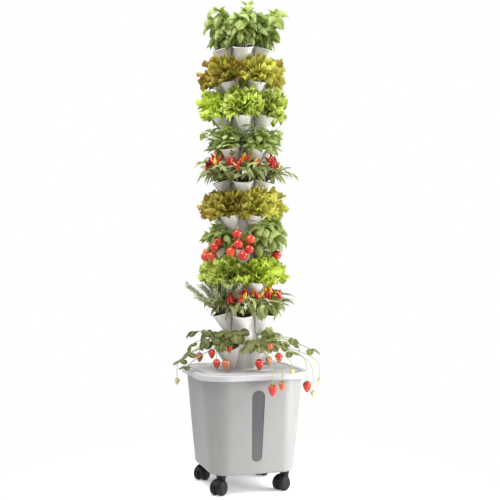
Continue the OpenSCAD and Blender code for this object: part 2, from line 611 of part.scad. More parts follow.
// A point above the middle of a cup's mouth, up by z
function over_cup(n, k, z) = polar(plant_r, tier_turn(n) + k * cup_step, tier_z(n) + plant_z + z);
function towards(p, q) = atan2(q[1] - p[1], q[0] - p[0]);
function tomato(i) = [tomatoes[i][0], tomatoes[i][1], tier_z(7) + plant_z + tomatoes[i][2]];
function berry(i, part = 2) = [berries[i][0], berries[i][1], lid_top + berries[i][part]];
module tomato_trusses() color("#4f7f2a") for (i = [0:len(tomatoes) - 1]) {
  b = tomato(i);
  from = over_cup(7, tomatoes[i][3], 4);
  top = [b[0], b[1], b[2] + tomato_r + seat_gap];
  fork = from + polar(8, towards(from, top), max(top[2] - from[2], 6) + 6 + 0.2 * i);
  rod(from + [0, 0, 0.1 * i], fork, 1.5 + 0.02 * i);
  rod(fork - [0, 0, 0.5], top + [0, 0, 1], 1 + 0.02 * i);
}
module berry_stalks() color("#6f9a3a") for (i = [0:len(berries) - 1]) {
  b = berry(i);
  bend = berry(i, 3);
  from = over_cup(tiers, berries[i][4], 5 + 0.3 * i);
  rod(from + polar(3.5, towards(from, b), 0), bend, 1.1 + 0.03 * i);
  translate(b + [0, 0, seat_gap]) cylinder(h = bend[2] - b[2] + 1.8, r = 1.5, $fn = leaf_fn);
}
module strawberries() color("#d3202b") for (i = [0:len(berries) - 1]) translate(berry(i))
  rotate_extrude($fn = 32) polygon([[0, 0], [0.7 * berry_r, -0.03 * berry_l], [0.97 * berry_r, -0.18 * berry_l],
    [0.95 * berry_r, -0.36 * berry_l], [0.62 * berry_r, -0.74 * berry_l], [0.25 * berry_r, -0.96 * berry_l],
    [0, -berry_l]]);
module chilli_pods() color("#cc1f1f") for (n = [5, 9]) for (k = [0:cups - 1]) if (n == 5 || k != 0)
  on_plant(n, k) translate([0, 0, root_up]) pods();
module cherry_tomatoes() color("#d9301f") for (i = [0:len(tomatoes) - 1])
  translate(tomato(i)) sphere(r = tomato_r);

tank();
level_window();
lid();
filler_flap();
flap_pin();
cable_grommet();
tower_base();
pump();
riser_pipe();
top_cap();
tier(1);  // tier_01
tier(2);  // tier_02
tier(3);  // tier_03
tier(4);  // tier_04
tier(5);  // tier_05
tier(6);  // tier_06
tier(7);  // tier_07
tier(8);  // tier_08
tier(9);  // tier_09
tier(10);  // tier_10
net_pots(1);  // net_pots_01
net_pots(2);  // net_pots_02
net_pots(3);  // net_pots_03
net_pots(4);  // net_pots_04
net_pots(5);  // net_pots_05
net_pots(6);  // net_pots_06
net_pots(7);  // net_pots_07
net_pots(8);  // net_pots_08
net_pots(9);  // net_pots_09
net_pots(10);  // net_pots_10
growing_medium();
plants(1);  // plants_01_basil
plants(2);  // plants_02_oak_lettuce
plants(3);  // plants_03_lettuce
plants(4);  // plants_04_mint
plants(5);  // plants_05_chilli
plants(6);  // plants_06_oak_lettuce
union() { plants(7); tomato_trusses(); }  // plants_07_tomato
plants(8);  // plants_08_lettuce
plants(9);  // plants_09_rosemary
union() { plants(10); berry_stalks(); }  // plants_10_strawberry
chilli_pods();
cherry_tomatoes();
strawberries();
caster(0);  // caster_fl
caster(1);  // caster_fr
caster(2);  // caster_bl
caster(3);  // caster_br
axle(0);  // axle_fl
axle(1);  // axle_fr
axle(2);  // axle_bl
axle(3);  // axle_br
wheel(0, 1);  // wheel_fl_a
wheel(0, -1);  // wheel_fl_b
wheel(1, 1);  // wheel_fr_a
wheel(1, -1);  // wheel_fr_b
wheel(2, 1);  // wheel_bl_a
wheel(2, -1);  // wheel_bl_b
wheel(3, 1);  // wheel_br_a
wheel(3, -1);  // wheel_br_b
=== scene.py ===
# %% [markdown]
# # A hydroponic tower in full leaf
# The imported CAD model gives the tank, the lid, the stacked tiers and the casters. This script dresses it:
# moulded-plastic finishes for those, and the crop itself, leaf by leaf and fruit by fruit.
#
# Lengths are in metres. +Z is up, -Y is the front with the level window, and +X is to the right of it.

# %% Load the frame
import json
import math
import random

import bpy
import numpy as np
from mathutils import Matrix, Vector


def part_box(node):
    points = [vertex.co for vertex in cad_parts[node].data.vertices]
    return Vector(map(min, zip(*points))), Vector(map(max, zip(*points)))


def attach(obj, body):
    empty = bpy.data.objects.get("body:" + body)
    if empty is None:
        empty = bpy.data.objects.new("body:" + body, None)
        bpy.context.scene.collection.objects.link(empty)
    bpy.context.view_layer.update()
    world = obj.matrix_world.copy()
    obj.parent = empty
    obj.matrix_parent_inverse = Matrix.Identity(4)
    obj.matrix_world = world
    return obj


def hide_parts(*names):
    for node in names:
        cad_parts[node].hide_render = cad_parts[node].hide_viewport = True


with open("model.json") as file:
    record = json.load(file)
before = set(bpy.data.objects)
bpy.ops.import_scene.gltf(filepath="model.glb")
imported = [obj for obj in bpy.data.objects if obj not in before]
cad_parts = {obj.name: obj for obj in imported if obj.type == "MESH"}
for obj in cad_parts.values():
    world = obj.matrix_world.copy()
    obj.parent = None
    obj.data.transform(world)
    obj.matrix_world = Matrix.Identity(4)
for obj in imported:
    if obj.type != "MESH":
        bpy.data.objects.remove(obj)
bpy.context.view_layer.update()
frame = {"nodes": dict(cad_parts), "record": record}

# %% [markdown]
# ## The photograph's view
# The tower was photographed level, from a little to the left of its front. A wide lens close by would spread
# the tank and narrow the top. A long lens from nearly 3 m away keeps the tower's sides parallel, as they are
# in the photograph. The camera is turned but not tilted, so verticals stay upright.

# %% Camera
LENS, SENSOR = 67.68, 36.0  # in millimetres
CAMERA_PLACE = (-0.829, -2.695, 0.701)
CAMERA_AIM = (0.3007, 0.9537, 0.0)
camera_data = bpy.data.cameras.new("camera")
camera_data.lens, camera_data.sensor_width = LENS, SENSOR
camera = bpy.data.objects.new("camera", camera_data)
bpy.context.collection.objects.link(camera)
camera.location = CAMERA_PLACE
camera.rotation_euler = Vector(CAMERA_AIM).to_track_quat("-Z", "Y").to_euler()
bpy.context.scene.camera = camera
print("camera at", tuple(round(v, 3) for v in camera.location))

# %% [markdown]
# ## Soft studio light
# The tower stands in a white studio. Its right side is bright, its left side falls into a mild shade, and no
# shadow has a hard edge. A sun lamp would cut hard edges, so area lamps are used, whose size sets how soft a
# shadow is: a large one at the right, a larger one above on the left, and a small one low at the front right,
# which lifts the tank's front. The camera doesn't see any of them.

# %% Lamps
scene = bpy.context.scene
scene.view_settings.view_transform = "Standard"


def area_light(name, place, target, size, power, colour=(1, 1, 1)):
    """A square lamp at place, turned towards target. power is in watts."""
    data = bpy.data.lights.new(name, "AREA")
    data.size, data.energy, data.color = size, power, colour
    light = bpy.data.objects.new(name, data)
    bpy.context.collection.objects.link(light)
    light.visible_camera = False
    light.location = place
    light.rotation_euler = (Vector(target) - Vector(place)).to_track_quat("-Z", "Y").to_euler()
    return light


area_light("key", (2.7, -0.9, 1.7), (0, 0, 0.75), 1.3, 100, (1.0, 0.99, 0.97))
area_light("side", (0.50, -0.50, 0.16), (0.02, -0.12, 0.16), 0.25, 3.0)
area_light("top", (-1.0, -0.6, 2.9), (0, 0, 0.6), 1.6, 72)
print("lamps:", len(bpy.data.lights))

# %% [markdown]
# ## Node helpers
# Every finish here is a small tree of shader nodes, and so is the world. Setting each node up by hand takes
# many lines, so a few helpers make the nodes that come back again and again. Each takes the tree's nodes and
# links, and returns the socket that its result comes out of.

# %% Node helpers
def maths(nodes, links, operation, a, b=0.0):
    """A Math node. Each input is a socket or a number."""
    node = nodes.new("ShaderNodeMath")
    node.operation = operation
    for socket, value in zip(node.inputs, (a, b)):
        if isinstance(value, bpy.types.NodeSocket):
            links.new(value, socket)
        else:
            socket.default_value = value
    return node.outputs[0]


def any_of(nodes, links, sockets):
    """1 where any of the sockets is 1."""
    total = sockets[0]
    for socket in sockets[1:]:
        total = maths(nodes, links, "MAXIMUM", total, socket)
    return total


def noise(nodes, links, scale, detail=3.0):
    """A noise texture in the object's own coordinates."""
    node = nodes.new("ShaderNodeTexNoise")
    node.inputs["Scale"].default_value = scale
    node.inputs["Detail"].default_value = detail
    links.new(nodes.new("ShaderNodeTexCoord").outputs["Object"], node.inputs["Vector"])
    return node.outputs["Fac"]


def ramp(nodes, links, factor, stops):
    """A colour ramp over factor, with stops of (position, colour)."""
    node = nodes.new("ShaderNodeValToRGB")
    while len(node.color_ramp.elements) < len(stops):
        node.color_ramp.elements.new(0.5)
    for element, (position, colour) in zip(node.color_ramp.elements, stops):
        element.position = position
        element.color = (*colour, 1.0)
    links.new(factor, node.inputs["Fac"])
    return node.outputs["Color"]


def grey(value):
    """A colour with the same value in each channel."""
    return (value, value, value)


def mix(nodes, links, factor, a, b, blend="MIX"):
    """Colour a where factor is 0, and colour b where it is 1. Each may be a socket or a plain colour."""
    node = nodes.new("ShaderNodeMix")
    node.data_type, node.blend_type = "RGBA", blend
    for socket, value in ((node.inputs["Factor"], factor), (node.inputs["A"], a), (node.inputs["B"], b)):
        if isinstance(value, bpy.types.NodeSocket):
            links.new(value, socket)
        elif isinstance(value, tuple):
            socket.default_value = (*value, 1.0)
        else:
            socket.default_value = value
    return node.outputs["Result"]


# %% [markdown]
# ### Shaders
# A Principled shader can be plastic, leaf, fruit skin or steel, by its roughness, its specular level and its
# coat. A bump normal gives it a grain that is too fine to model.

# %% Shaders
def new_material(name):
    """An empty node material, with its tree's nodes and links."""
    material = bpy.data.materials.new(name)
    material.use_nodes = True
    tree = material.node_tree
    tree.nodes.clear()
    return material, tree.nodes, tree.links


def bump(nodes, links, height, strength, distance):
    """A bump normal from height, which stands for distance metres."""
    node = nodes.new("ShaderNodeBump")
    node.inputs["Strength"].default_value = strength
    node.inputs["Distance"].default_value = distance
    links.new(height, node.inputs["Height"])
    return node.outputs["Normal"]


def principled(nodes, links, colour, normal=None, **values):
    """A Principled shader with its plain values set on its own sockets."""
    shader = nodes.new("ShaderNodeBsdfPrincipled")
    links.new(colour, shader.inputs["Base Color"])
    if normal is not None:
        links.new(normal, shader.inputs["Normal"])
    for socket, value in values.items():
        shader.inputs[socket.replace("_", " ")].default_value = value
    return shader.outputs["BSDF"]


def mix_shaders(nodes, links, factor, first, second):
    """The first shader where factor is 0, and the second where it is 1."""
    node = nodes.new("ShaderNodeMixShader")
    if isinstance(factor, bpy.types.NodeSocket):
        links.new(factor, node.inputs["Fac"])
    else:
        node.inputs["Fac"].default_value = factor
    links.new(first, node.inputs[1])
    links.new(second, node.inputs[2])
    return node.outputs["Shader"]


def output(nodes, links, shader):
    """Makes shader the material's surface."""
    links.new(shader, nodes.new("ShaderNodeOutputMaterial").inputs["Surface"])


# %% [markdown]
# ## A white world that lights softly
# Behind the tower there is pure white. A world as bright as that would flood the tower with light and wash
# out its pale plastics, so the world does two things at once. Rays that look at it, straight from the camera
# or by way of a reflection, see white. Rays that gather light from it find a sky of less than half that.

# %% World
WORLD_LIGHT = 0.40
LOOKING_RAYS = ("Is Camera Ray", "Is Glossy Ray", "Is Transmission Ray")


def sky(nodes, strength):
    """A plain white background shader."""
    node = nodes.new("ShaderNodeBackground")
    node.inputs["Color"].default_value = (1.0, 1.0, 1.0, 1.0)
    node.inputs["Strength"].default_value = strength
    return node.outputs["Background"]


def looking(nodes, links):
    """1 for rays that look at a thing, and 0 for rays that gather its light."""
    rays = nodes.new("ShaderNodeLightPath")
    return any_of(nodes, links, [rays.outputs[name] for name in LOOKING_RAYS])


world = bpy.data.worlds.new("studio")
scene.world = world
world.use_nodes = True
nodes, links = world.node_tree.nodes, world.node_tree.links
nodes.clear()
both_skies = mix_shaders(nodes, links, looking(nodes, links), sky(nodes, WORLD_LIGHT), sky(nodes, 1.0))
links.new(both_skies, nodes.new("ShaderNodeOutputWorld").inputs["Surface"])
print("the world's light:", WORLD_LIGHT)

# %% [markdown]
# ## Moulded plastics and rubber
# The tank, the lid and the tiers are injection mouldings: smooth, satin, and each nearly of one colour. One
# flat colour would look like a drawing, so each plastic drifts slowly between two close tones and has a fine
# eggshell grain in its bump. The casters, the pots and the grommet are the same finish in near black.

# %% Plastic
TONE_SCALE = 6.0  # slow enough for a few drifts of tone across the tank
GRAIN_STRENGTH = 0.35


def plastic(name, light, dark, roughness, grain=900.0, depth=0.00006, coat=0.0, shine=0.5):
    """Moulded plastic between two close colours. grain is the bump's scale, and depth its height."""
    material, nodes, links = new_material(name)
    colour = ramp(nodes, links, noise(nodes, links, TONE_SCALE), [(0.35, dark), (0.65, light)])
    normal = bump(nodes, links, noise(nodes, links, grain, 2.0), GRAIN_STRENGTH, depth)
    output(nodes, links, principled(nodes, links, colour, normal, Roughness=roughness, Coat_Weight=coat,
                                    Specular_IOR_Level=shine))
    return material


FINISHES = {
    "tank_plastic": plastic("tank_plastic", (0.30, 0.30, 0.292), (0.283, 0.283, 0.275), 0.46),
    "lid_plastic": plastic("lid_plastic", (0.53, 0.52, 0.54), (0.50, 0.49, 0.51), 0.42),
    "tier_plastic": plastic("tier_plastic", (0.90, 0.88, 0.88), (0.87, 0.85, 0.85), 0.38),
    "window_plastic": plastic("window_plastic", (0.088, 0.088, 0.092), (0.075, 0.075, 0.08), 0.2,
                              grain=200.0, depth=0.00002, coat=0.3),
    "net_pot_plastic": plastic("net_pot_plastic", (0.035, 0.034, 0.032), (0.022, 0.021, 0.02), 0.5),
    "pump_plastic": plastic("pump_plastic", (0.03, 0.03, 0.034), (0.02, 0.02, 0.022), 0.45),
    "pipe_plastic": plastic("pipe_plastic", (0.80, 0.80, 0.81), (0.76, 0.76, 0.78), 0.35),
    "grommet_rubber": plastic("grommet_rubber", (0.032, 0.032, 0.033), (0.02, 0.02, 0.02), 0.7,
                              grain=1500.0, depth=0.0001),
    "caster_plastic": plastic("caster_plastic", (0.008, 0.008, 0.009), (0.005, 0.005, 0.006), 0.42,
                              shine=0.22),
    "wheel_rubber": plastic("wheel_rubber", (0.010, 0.010, 0.011), (0.006, 0.006, 0.007), 0.55,
                            grain=1200.0, depth=0.0001, shine=0.22),
}
print("plastics and rubbers:", ", ".join(FINISHES))

# %% [markdown]
# ### The moulded line in the lid
# A groove runs round the lid inside its edge. It is cut in the CAD model, but it is only 3 mm wide and pale,
# and soft light fills it until it can hardly be seen. So a painted shade darkens the lid's colour along it:
# for each point, the shader works out how far it lies from a rounded square that runs along the groove.

# %% The groove's shade
LID_CORNER_R, GROOVE_INSET, GROOVE_W = 0.084, 0.0215, 0.003
GROOVE_SHADE = 0.45


def paint_groove_shade(material, shade):
    """Paints shade into the lid's colour along the groove, which runs at a set distance inside its rounded
    edge.
    """
    nodes, links = material.node_tree.nodes, material.node_tree.links
    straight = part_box("lid")[1][0] - LID_CORNER_R
    split = nodes.new("ShaderNodeSeparateXYZ")
    links.new(nodes.new("ShaderNodeTexCoord").outputs["Object"], split.inputs[0])
    past = []
    for i in (0, 1):
        side = maths(nodes, links, "ABSOLUTE", split.outputs[i])
        past.append(maths(nodes, links, "MAXIMUM", maths(nodes, links, "SUBTRACT", side, straight)))
    squares = [maths(nodes, links, "POWER", length, 2.0) for length in past]
    reach = maths(nodes, links, "SQRT", maths(nodes, links, "ADD", *squares))
    inset = LID_CORNER_R - GROOVE_INSET
    off_line = maths(nodes, links, "ABSOLUTE", maths(nodes, links, "SUBTRACT", reach, inset))
    widths = maths(nodes, links, "DIVIDE", off_line, GROOVE_W)
    # Painted shade: full across the groove, fading out just beyond its edges
    band = ramp(nodes, links, widths, [(0.55, grey(shade)), (0.80, grey(1.0))])
    shader = next(node for node in nodes if node.type == "BSDF_PRINCIPLED")
    colour = shader.inputs["Base Color"].links[0].from_socket
    links.new(mix(nodes, links, 1.0, colour, band, "MULTIPLY"), shader.inputs["Base Color"])


paint_groove_shade(FINISHES["lid_plastic"], GROOVE_SHADE)

# %% [markdown]
# ### Steel pins, and a finish for each CAD part
# The axles and the flap's pin are bright drawn steel. A metal shows its colour in what it reflects, so it is
# set as fully metallic, with a close, fine change of tone. Then each CAD part whose shape stays gets its
# finish by the material slot that the record names.

# %% Steel and the parts' finishes
def steel_finish():
    """Bright steel with a fine change of tone."""
    material, nodes, links = new_material("steel")
    tones = [(0.3, (0.5, 0.5, 0.52)), (0.7, (0.62, 0.62, 0.64))]
    brushed = ramp(nodes, links, noise(nodes, links, 300.0), tones)
    output(nodes, links, principled(nodes, links, brushed, Roughness=0.32, Metallic=1.0))
    return material


FINISHES["steel"] = steel_finish()
for part in frame["record"]["subparts"]:
    if part["material_slot"] in FINISHES:
        shown = frame["nodes"][part["node"]]
        shown.data.materials.clear()
        shown.data.materials.append(FINISHES[part["material_slot"]])
print("finishes of CAD parts:", len(FINISHES))

# %% [markdown]
# ## Leaves
# A leaf is never one green. It is paler along its midrib and where light gets to it, darker in its blade,
# often another colour at its margin, and light shines through it. An image could hold all that, but hundreds
# of leaves of all sizes would stretch it. Instead each point of a leaf carries four painted values that the
# shader reads: how near the margin it is, the leaf's own tone, how near the midrib it is, and how far along
# the leaf it lies. The net of small veins is bump, from a cell texture.

# %% Foliage shader
SUNLIT = (0.55, 0.75, 0.10)  # the colour that light takes on when it shines through a leaf
BLOTCH_TONES = [(0.3, (0.72, 0.72, 0.72)), (0.7, (1.2, 1.2, 1.1))]


def painted(nodes, links):
    """The four values painted on a plant: margin, tone, midrib and along."""
    paint = nodes.new("ShaderNodeAttribute")
    paint.attribute_name = "paint"
    parts = nodes.new("ShaderNodeSeparateColor")
    links.new(paint.outputs["Color"], parts.inputs["Color"])
    return parts.outputs[0], parts.outputs[1], parts.outputs[2], paint.outputs["Alpha"]


def foliage(name, deep, light, margin=None, midrib=(0.42, 0.52, 0.16), base=None, roughness=0.42, veins=240.0,
            shine_through=0.30, vein_depth=0.0006, shine=0.28):
    """A leaf: tone runs from deep to light, and the margin and the foot may have colours of their own."""
    material, nodes, links = new_material(name)
    edge, tone, rib, along = painted(nodes, links)
    blotch = noise(nodes, links, 55.0, 4.0)
    colour = mix(nodes, links, tone, deep, light)
    colour = mix(nodes, links, 0.5, colour, ramp(nodes, links, blotch, BLOTCH_TONES), "MULTIPLY")
    if margin:
        patches = ramp(nodes, links, blotch, [(0.38, grey(0.0)), (0.56, grey(1.0))])
        colour = mix(nodes, links, maths(nodes, links, "MULTIPLY", edge, patches), colour, margin)
    if base:
        near_foot = ramp(nodes, links, along, [(0.05, grey(1.0)), (0.6, grey(0.0))])
        colour = mix(nodes, links, near_foot, colour, base)
    colour = mix(nodes, links, rib, colour, midrib)
    net = nodes.new("ShaderNodeTexVoronoi")
    net.inputs["Scale"].default_value = veins
    links.new(nodes.new("ShaderNodeTexCoord").outputs["Object"], net.inputs["Vector"])
    normal = bump(nodes, links, net.outputs["Distance"], 0.5, vein_depth)
    shader = principled(nodes, links, colour, normal, Roughness=roughness, Specular_IOR_Level=shine)
    if shine_through:
        through = nodes.new("ShaderNodeBsdfTranslucent")
        links.new(mix(nodes, links, 0.35, colour, SUNLIT), through.inputs["Color"])
        shader = mix_shaders(nodes, links, shine_through, shader, through.outputs["BSDF"])
    output(nodes, links, shader)
    return material


# %% [markdown]
# ### The kinds of leaf
# Each crop has its own green. Basil is a glossy mid green. Oak-leaf lettuce is olive with bronze edges, and
# the green lettuce is bright, with pale frills, partly their own colour and partly a painted highlight. Mint
# is duller, and its leaves catch more light. Chillies and strawberries are dark, and rosemary is a dry grey
# green that no light shines through.

# %% Leaf materials
BASIL = foliage("basil_leaf", (0.15, 0.21, 0.022), (0.50, 0.60, 0.21), midrib=(0.50, 0.62, 0.28),
                roughness=0.28, shine=0.40)
OAK = foliage("oak_lettuce_leaf", (0.27, 0.26, 0.006), (0.92, 0.90, 0.24), margin=(0.40, 0.15, 0.035),
              midrib=(0.80, 0.85, 0.45), base=(0.62, 0.72, 0.10), roughness=0.38, shine_through=0.22,
              shine=0.12)
# The green lettuce's pale margin is partly its own pale frill and partly a painted highlight on its tips
LETTUCE = foliage("lettuce_leaf", (0.15, 0.26, 0.002), (0.82, 0.95, 0.16), margin=(0.94, 0.99, 0.36),
                  midrib=(0.84, 0.92, 0.50), base=(0.50, 0.64, 0.06), roughness=0.36, shine_through=0.22,
                  shine=0.12)
MINT = foliage("mint_leaf", (0.16, 0.22, 0.02), (0.64, 0.75, 0.33), midrib=(0.45, 0.56, 0.24), roughness=0.38)
CHILLI = foliage("chilli_leaf", (0.085, 0.11, 0.018), (0.44, 0.47, 0.19), margin=(0.66, 0.66, 0.42),
                 midrib=(0.50, 0.54, 0.28), roughness=0.30)
TOMATO = foliage("tomato_leaf", (0.14, 0.19, 0.02), (0.40, 0.48, 0.10), midrib=(0.42, 0.50, 0.20))
ROSEMARY = foliage("rosemary_leaf", (0.22, 0.245, 0.10), (0.80, 0.82, 0.58), midrib=(0.46, 0.50, 0.32),
                   roughness=0.5, shine_through=0.0)
STRAWBERRY = foliage("strawberry_leaf", (0.055, 0.052, 0.010), (0.36, 0.38, 0.14), midrib=(0.48, 0.54, 0.30))
STEM = foliage("green_stem", (0.30, 0.38, 0.10), (0.56, 0.64, 0.28), shine_through=0.0, veins=500.0,
               vein_depth=0.0002)
BARK = foliage("brown_stem", (0.09, 0.06, 0.035), (0.20, 0.14, 0.08), shine_through=0.0, veins=700.0)
GREENS = (BASIL, OAK, LETTUCE, MINT, CHILLI, TOMATO, ROSEMARY, STRAWBERRY, STEM, BARK)
print("leaves and stems:", [material.name for material in GREENS])

# %% [markdown]
# ### Fruit skins
# Ripe chillies, tomatoes and strawberries are smooth and glossy, with a little light spread under the skin. A
# clear coat gives the sharp highlight, and subsurface scattering gives the soft glow. The margin value says
# how unripe a fruit is, so one material covers a whole truss from green or yellow to red.

# %% Skin shader
def skin(name, deep, light, unripe, roughness=0.2, coat=0.4):
    """Glossy skin, from deep to light by the fruit's own tone, and towards unripe by its margin value."""
    material, nodes, links = new_material(name)
    unripeness, tone = painted(nodes, links)[:2]
    colour = mix(nodes, links, tone, deep, light)
    flecks = ramp(nodes, links, noise(nodes, links, 90.0), [(0.40, grey(0.0)), (0.75, grey(0.22))])
    colour = mix(nodes, links, flecks, colour, light)
    colour = mix(nodes, links, unripeness, colour, unripe)
    normal = bump(nodes, links, noise(nodes, links, 400.0, 2.0), 0.2, 0.0001)
    output(nodes, links, principled(nodes, links, colour, normal, Roughness=roughness, Coat_Weight=coat,
                                    Subsurface_Weight=0.06, Subsurface_Scale=0.003))
    return material


TOMATO_SKIN = skin("red_skin", (0.48, 0.009, 0.006), (0.72, 0.04, 0.015), (0.84, 0.28, 0.03), 0.16, 0.2)
CHILLI_SKIN = skin("chilli_skin", (0.40, 0.004, 0.004), (0.62, 0.012, 0.006), (0.85, 0.50, 0.012), 0.16, 0.2)
BERRY_SKIN = skin("strawberry_skin", (0.50, 0.004, 0.008), (0.78, 0.05, 0.016), (0.66, 0.64, 0.28),
                  0.20, 0.25)
SEED = skin("berry_seed", (0.62, 0.36, 0.08), (0.85, 0.66, 0.25), (0.60, 0.55, 0.2), 0.4, 0.0)
PETAL = skin("petal", (0.88, 0.88, 0.80), (0.94, 0.94, 0.90), (0.9, 0.9, 0.85), 0.5, 0.0)
print("skins:", [m.name for m in (TOMATO_SKIN, CHILLI_SKIN, BERRY_SKIN, SEED, PETAL)])

# %% [markdown]
# ### Growing medium
# The pots hold a dark, crumbly mix of fibre and peat with a few pale crumbs. One fine noise drives both the
# colour and the bump, so that what looks like a crumb also stands proud.

# %% Growing-medium material
soil, nodes, links = new_material("growing_medium")
crumb = noise(nodes, links, 420.0, 6.0)
CRUMB_TONES = [(0.35, (0.018, 0.011, 0.007)), (0.6, (0.075, 0.048, 0.03)), (0.75, (0.16, 0.11, 0.07))]
crumb_colour = ramp(nodes, links, crumb, CRUMB_TONES)
crumb_bump = bump(nodes, links, crumb, 0.8, 0.002)
output(nodes, links, principled(nodes, links, crumb_colour, crumb_bump, Roughness=0.95))
print("materials:", len(bpy.data.materials))

# %% [markdown]
# ## Where each plant stands
# Ten tiers stand one pitch apart, and every second one is turned by half a cup's spacing, so its five cups
# sit between those of its neighbours. A cup is a flaring cone that leans outwards. Each plant could be placed
# by eye, but fifty cups are too many for that. So each cup's frame is worked out from its tier's own box. A
# plant's frame stands upright on the growing medium in the middle of its cup, with +X out of the tower.

# %% Tiers and cups
TIERS, CUPS = 10, 5
COLUMN_R = 0.0385
CUP_TILT, CUP_FLARE = math.radians(17.5), math.radians(18.3)
CUP_LENGTH, CUP_FOOT_R, CUP_OUT = 0.056, 0.0105, 0.049
CUP_FOOT_GAP = 0.0005
MEDIUM_DROP = 0.002  # from the cup's mouth down to the medium
MOUTH_R = CUP_FOOT_R / math.cos(CUP_FLARE) + CUP_LENGTH * math.tan(CUP_FLARE)
LID_DEPTH = 0.016  # from the skirt's lower edge up to the lid's top face
LID_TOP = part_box("lid")[0][2] + LID_DEPTH


def cup_turn(n, k):
    """How far cup k of tier n is turned round the tower."""
    return math.radians((180 if n % 2 else 0) + 360 / CUPS * k)


def cup_matrix(n, k):
    """The frame of cup k on tier n: its origin is the cup's rounded foot, and +Z runs up the cup's axis."""
    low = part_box(f"tier_{n:02d}")[0][2]
    foot = (CUP_OUT, 0, CUP_FOOT_R + CUP_FOOT_GAP)
    return (Matrix.Translation((0, 0, low)) @ Matrix.Rotation(cup_turn(n, k), 4, "Z")
            @ Matrix.Translation(foot) @ Matrix.Rotation(CUP_TILT, 4, "Y"))


def plant_matrix(n, k):
    """The frame of the plant in that cup: upright, with +X out of the tower."""
    foot = cup_matrix(n, k) @ Vector((0, 0, CUP_LENGTH - MEDIUM_DROP))
    return Matrix.Translation(foot) @ Matrix.Rotation(cup_turn(n, k), 4, "Z")


CUP_FRAMES = {(n, k): cup_matrix(n, k) for n in range(1, TIERS + 1) for k in range(CUPS)}
print("cups:", len(CUP_FRAMES), " lid top at", round(LID_TOP, 4))

# %% [markdown]
# ## Keeping leaves off the plastic
# Real leaves give way: they drape over a rim and lie along a wall. Here they are rigid, and grown without a
# look at what is near them, so some would pass through a cup. A collision simulation would mend that slowly.
# It is enough to look at each point: one that would lie inside a cup moves out to the cup's wall, or up over
# the rim where that is nearer, and the column and the lid are treated in the same way.

# %% Keeping off
LEAF_GAP = 0.0012
RIM_OUT, RIM_BAND = 0.0012, 0.005  # how far the rim stands out, and how far down it reaches
RIM_REACH = 0.008  # as near as this to the mouth, a point moves up over the rim
MOUTH_DEPTH, MOUTH_WALL = 0.012, 0.004
LID_GAP, LID_REACH = 0.002, 0.165


def off_cup(points, cup, own):
    """Points moved out of one cup. In its own cup, a plant may stand in the mouth."""
    matrix = np.array(cup)
    local = (points - matrix[:3, 3]) @ matrix[:3, :3]
    height = local[:, 2]
    around = np.hypot(local[:, 0], local[:, 1])
    wall = CUP_FOOT_R / math.cos(CUP_FLARE) + height * math.tan(CUP_FLARE) + LEAF_GAP
    wall = np.where(height > CUP_LENGTH - RIM_BAND, MOUTH_R + RIM_OUT + LEAF_GAP, wall)
    own_mouth = own & (height > CUP_LENGTH - MOUTH_DEPTH) & (around < MOUTH_R - MOUTH_WALL)
    inside = (height > -RIM_REACH) & (height < CUP_LENGTH + LEAF_GAP) & (around < wall) & ~own_mouth
    over = inside & (height > CUP_LENGTH - RIM_REACH)
    out = inside & ~over
    scale = np.where(out, wall / np.maximum(around, 1e-6), 1.0)
    local[:, 0] *= scale
    local[:, 1] *= scale
    local[:, 2] = np.where(over, CUP_LENGTH + LEAF_GAP, height)
    return local @ matrix[:3, :3].T + matrix[:3, 3]


def keep_off(points, n):
    """Points moved out of the cups of tiers n - 1, n and n + 1, out of the column and off the lid."""
    for m in (n - 1, n, n + 1):
        for k in range(CUPS):
            if (m, k) in CUP_FRAMES:
                points = off_cup(points, CUP_FRAMES[m, k], m == n)
    radius = np.hypot(points[:, 0], points[:, 1])
    in_column = (radius < COLUMN_R + LEAF_GAP) & (points[:, 2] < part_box("top_cap")[1][2])
    scale = np.where(in_column, (COLUMN_R + LEAF_GAP) / np.maximum(radius, 1e-6), 1.0)
    points[:, 0] *= scale
    points[:, 1] *= scale
    on_lid = np.maximum(points[:, 2], LID_TOP + LID_GAP)
    points[:, 2] = np.where(radius < LID_REACH, on_lid, points[:, 2])
    return points


print("leaves keep", round(LEAF_GAP * 1000, 1), "mm off the plastic")

# %% [markdown]
# ## Growing a mesh
# One tier's crop is hundreds of leaves and stems. As objects of their own they would be slow to make and
# hard to keep track of, so a `Growth` gathers them into one mesh, with the painted values that the materials
# read. It also has its own seeded source of chance, so each run grows the same plants.

# %% Growth
class Growth:
    """Small forms gathered into one mesh, with the values that the materials read."""

    def __init__(self, seed):
        self.points, self.paint, self.faces, self.slots, self.count = [], [], [], [], 0
        self.random = random.Random(seed)

    def add(self, points, faces, slot=0, margin=0.0, tone=0.5, midrib=0.0, along=0.5):
        """Points of shape (N, 3), faces as rows of point numbers, and painted values, arrays or numbers."""
        paint = np.empty((len(points), 4))
        for column, value in enumerate((margin, tone, midrib, along)):
            paint[:, column] = value
        self.points.append(points)
        self.paint.append(paint)
        self.faces.extend((faces + self.count).tolist())
        self.slots.extend([slot] * len(faces))
        self.count += len(points)

    def build(self, name, materials, tier=None):
        """The mesh object, smooth shaded, riding on the tower."""
        points = np.concatenate(self.points)
        if tier:
            points = keep_off(points, tier)
        mesh = bpy.data.meshes.new(name)
        mesh.from_pydata(points.tolist(), [], self.faces)
        layer = mesh.color_attributes.new("paint", "FLOAT_COLOR", "POINT")
        layer.data.foreach_set("color", np.concatenate(self.paint).ravel())
        for material in materials:
            mesh.materials.append(material)
        mesh.polygons.foreach_set("material_index", self.slots)
        mesh.polygons.foreach_set("use_smooth", [True] * len(self.faces))
        mesh.update()
        piece = bpy.data.objects.new(name, mesh)
        bpy.context.collection.objects.link(piece)
        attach(piece, "tower")
        print(f"{name}: {len(self.faces)} faces")
        return piece


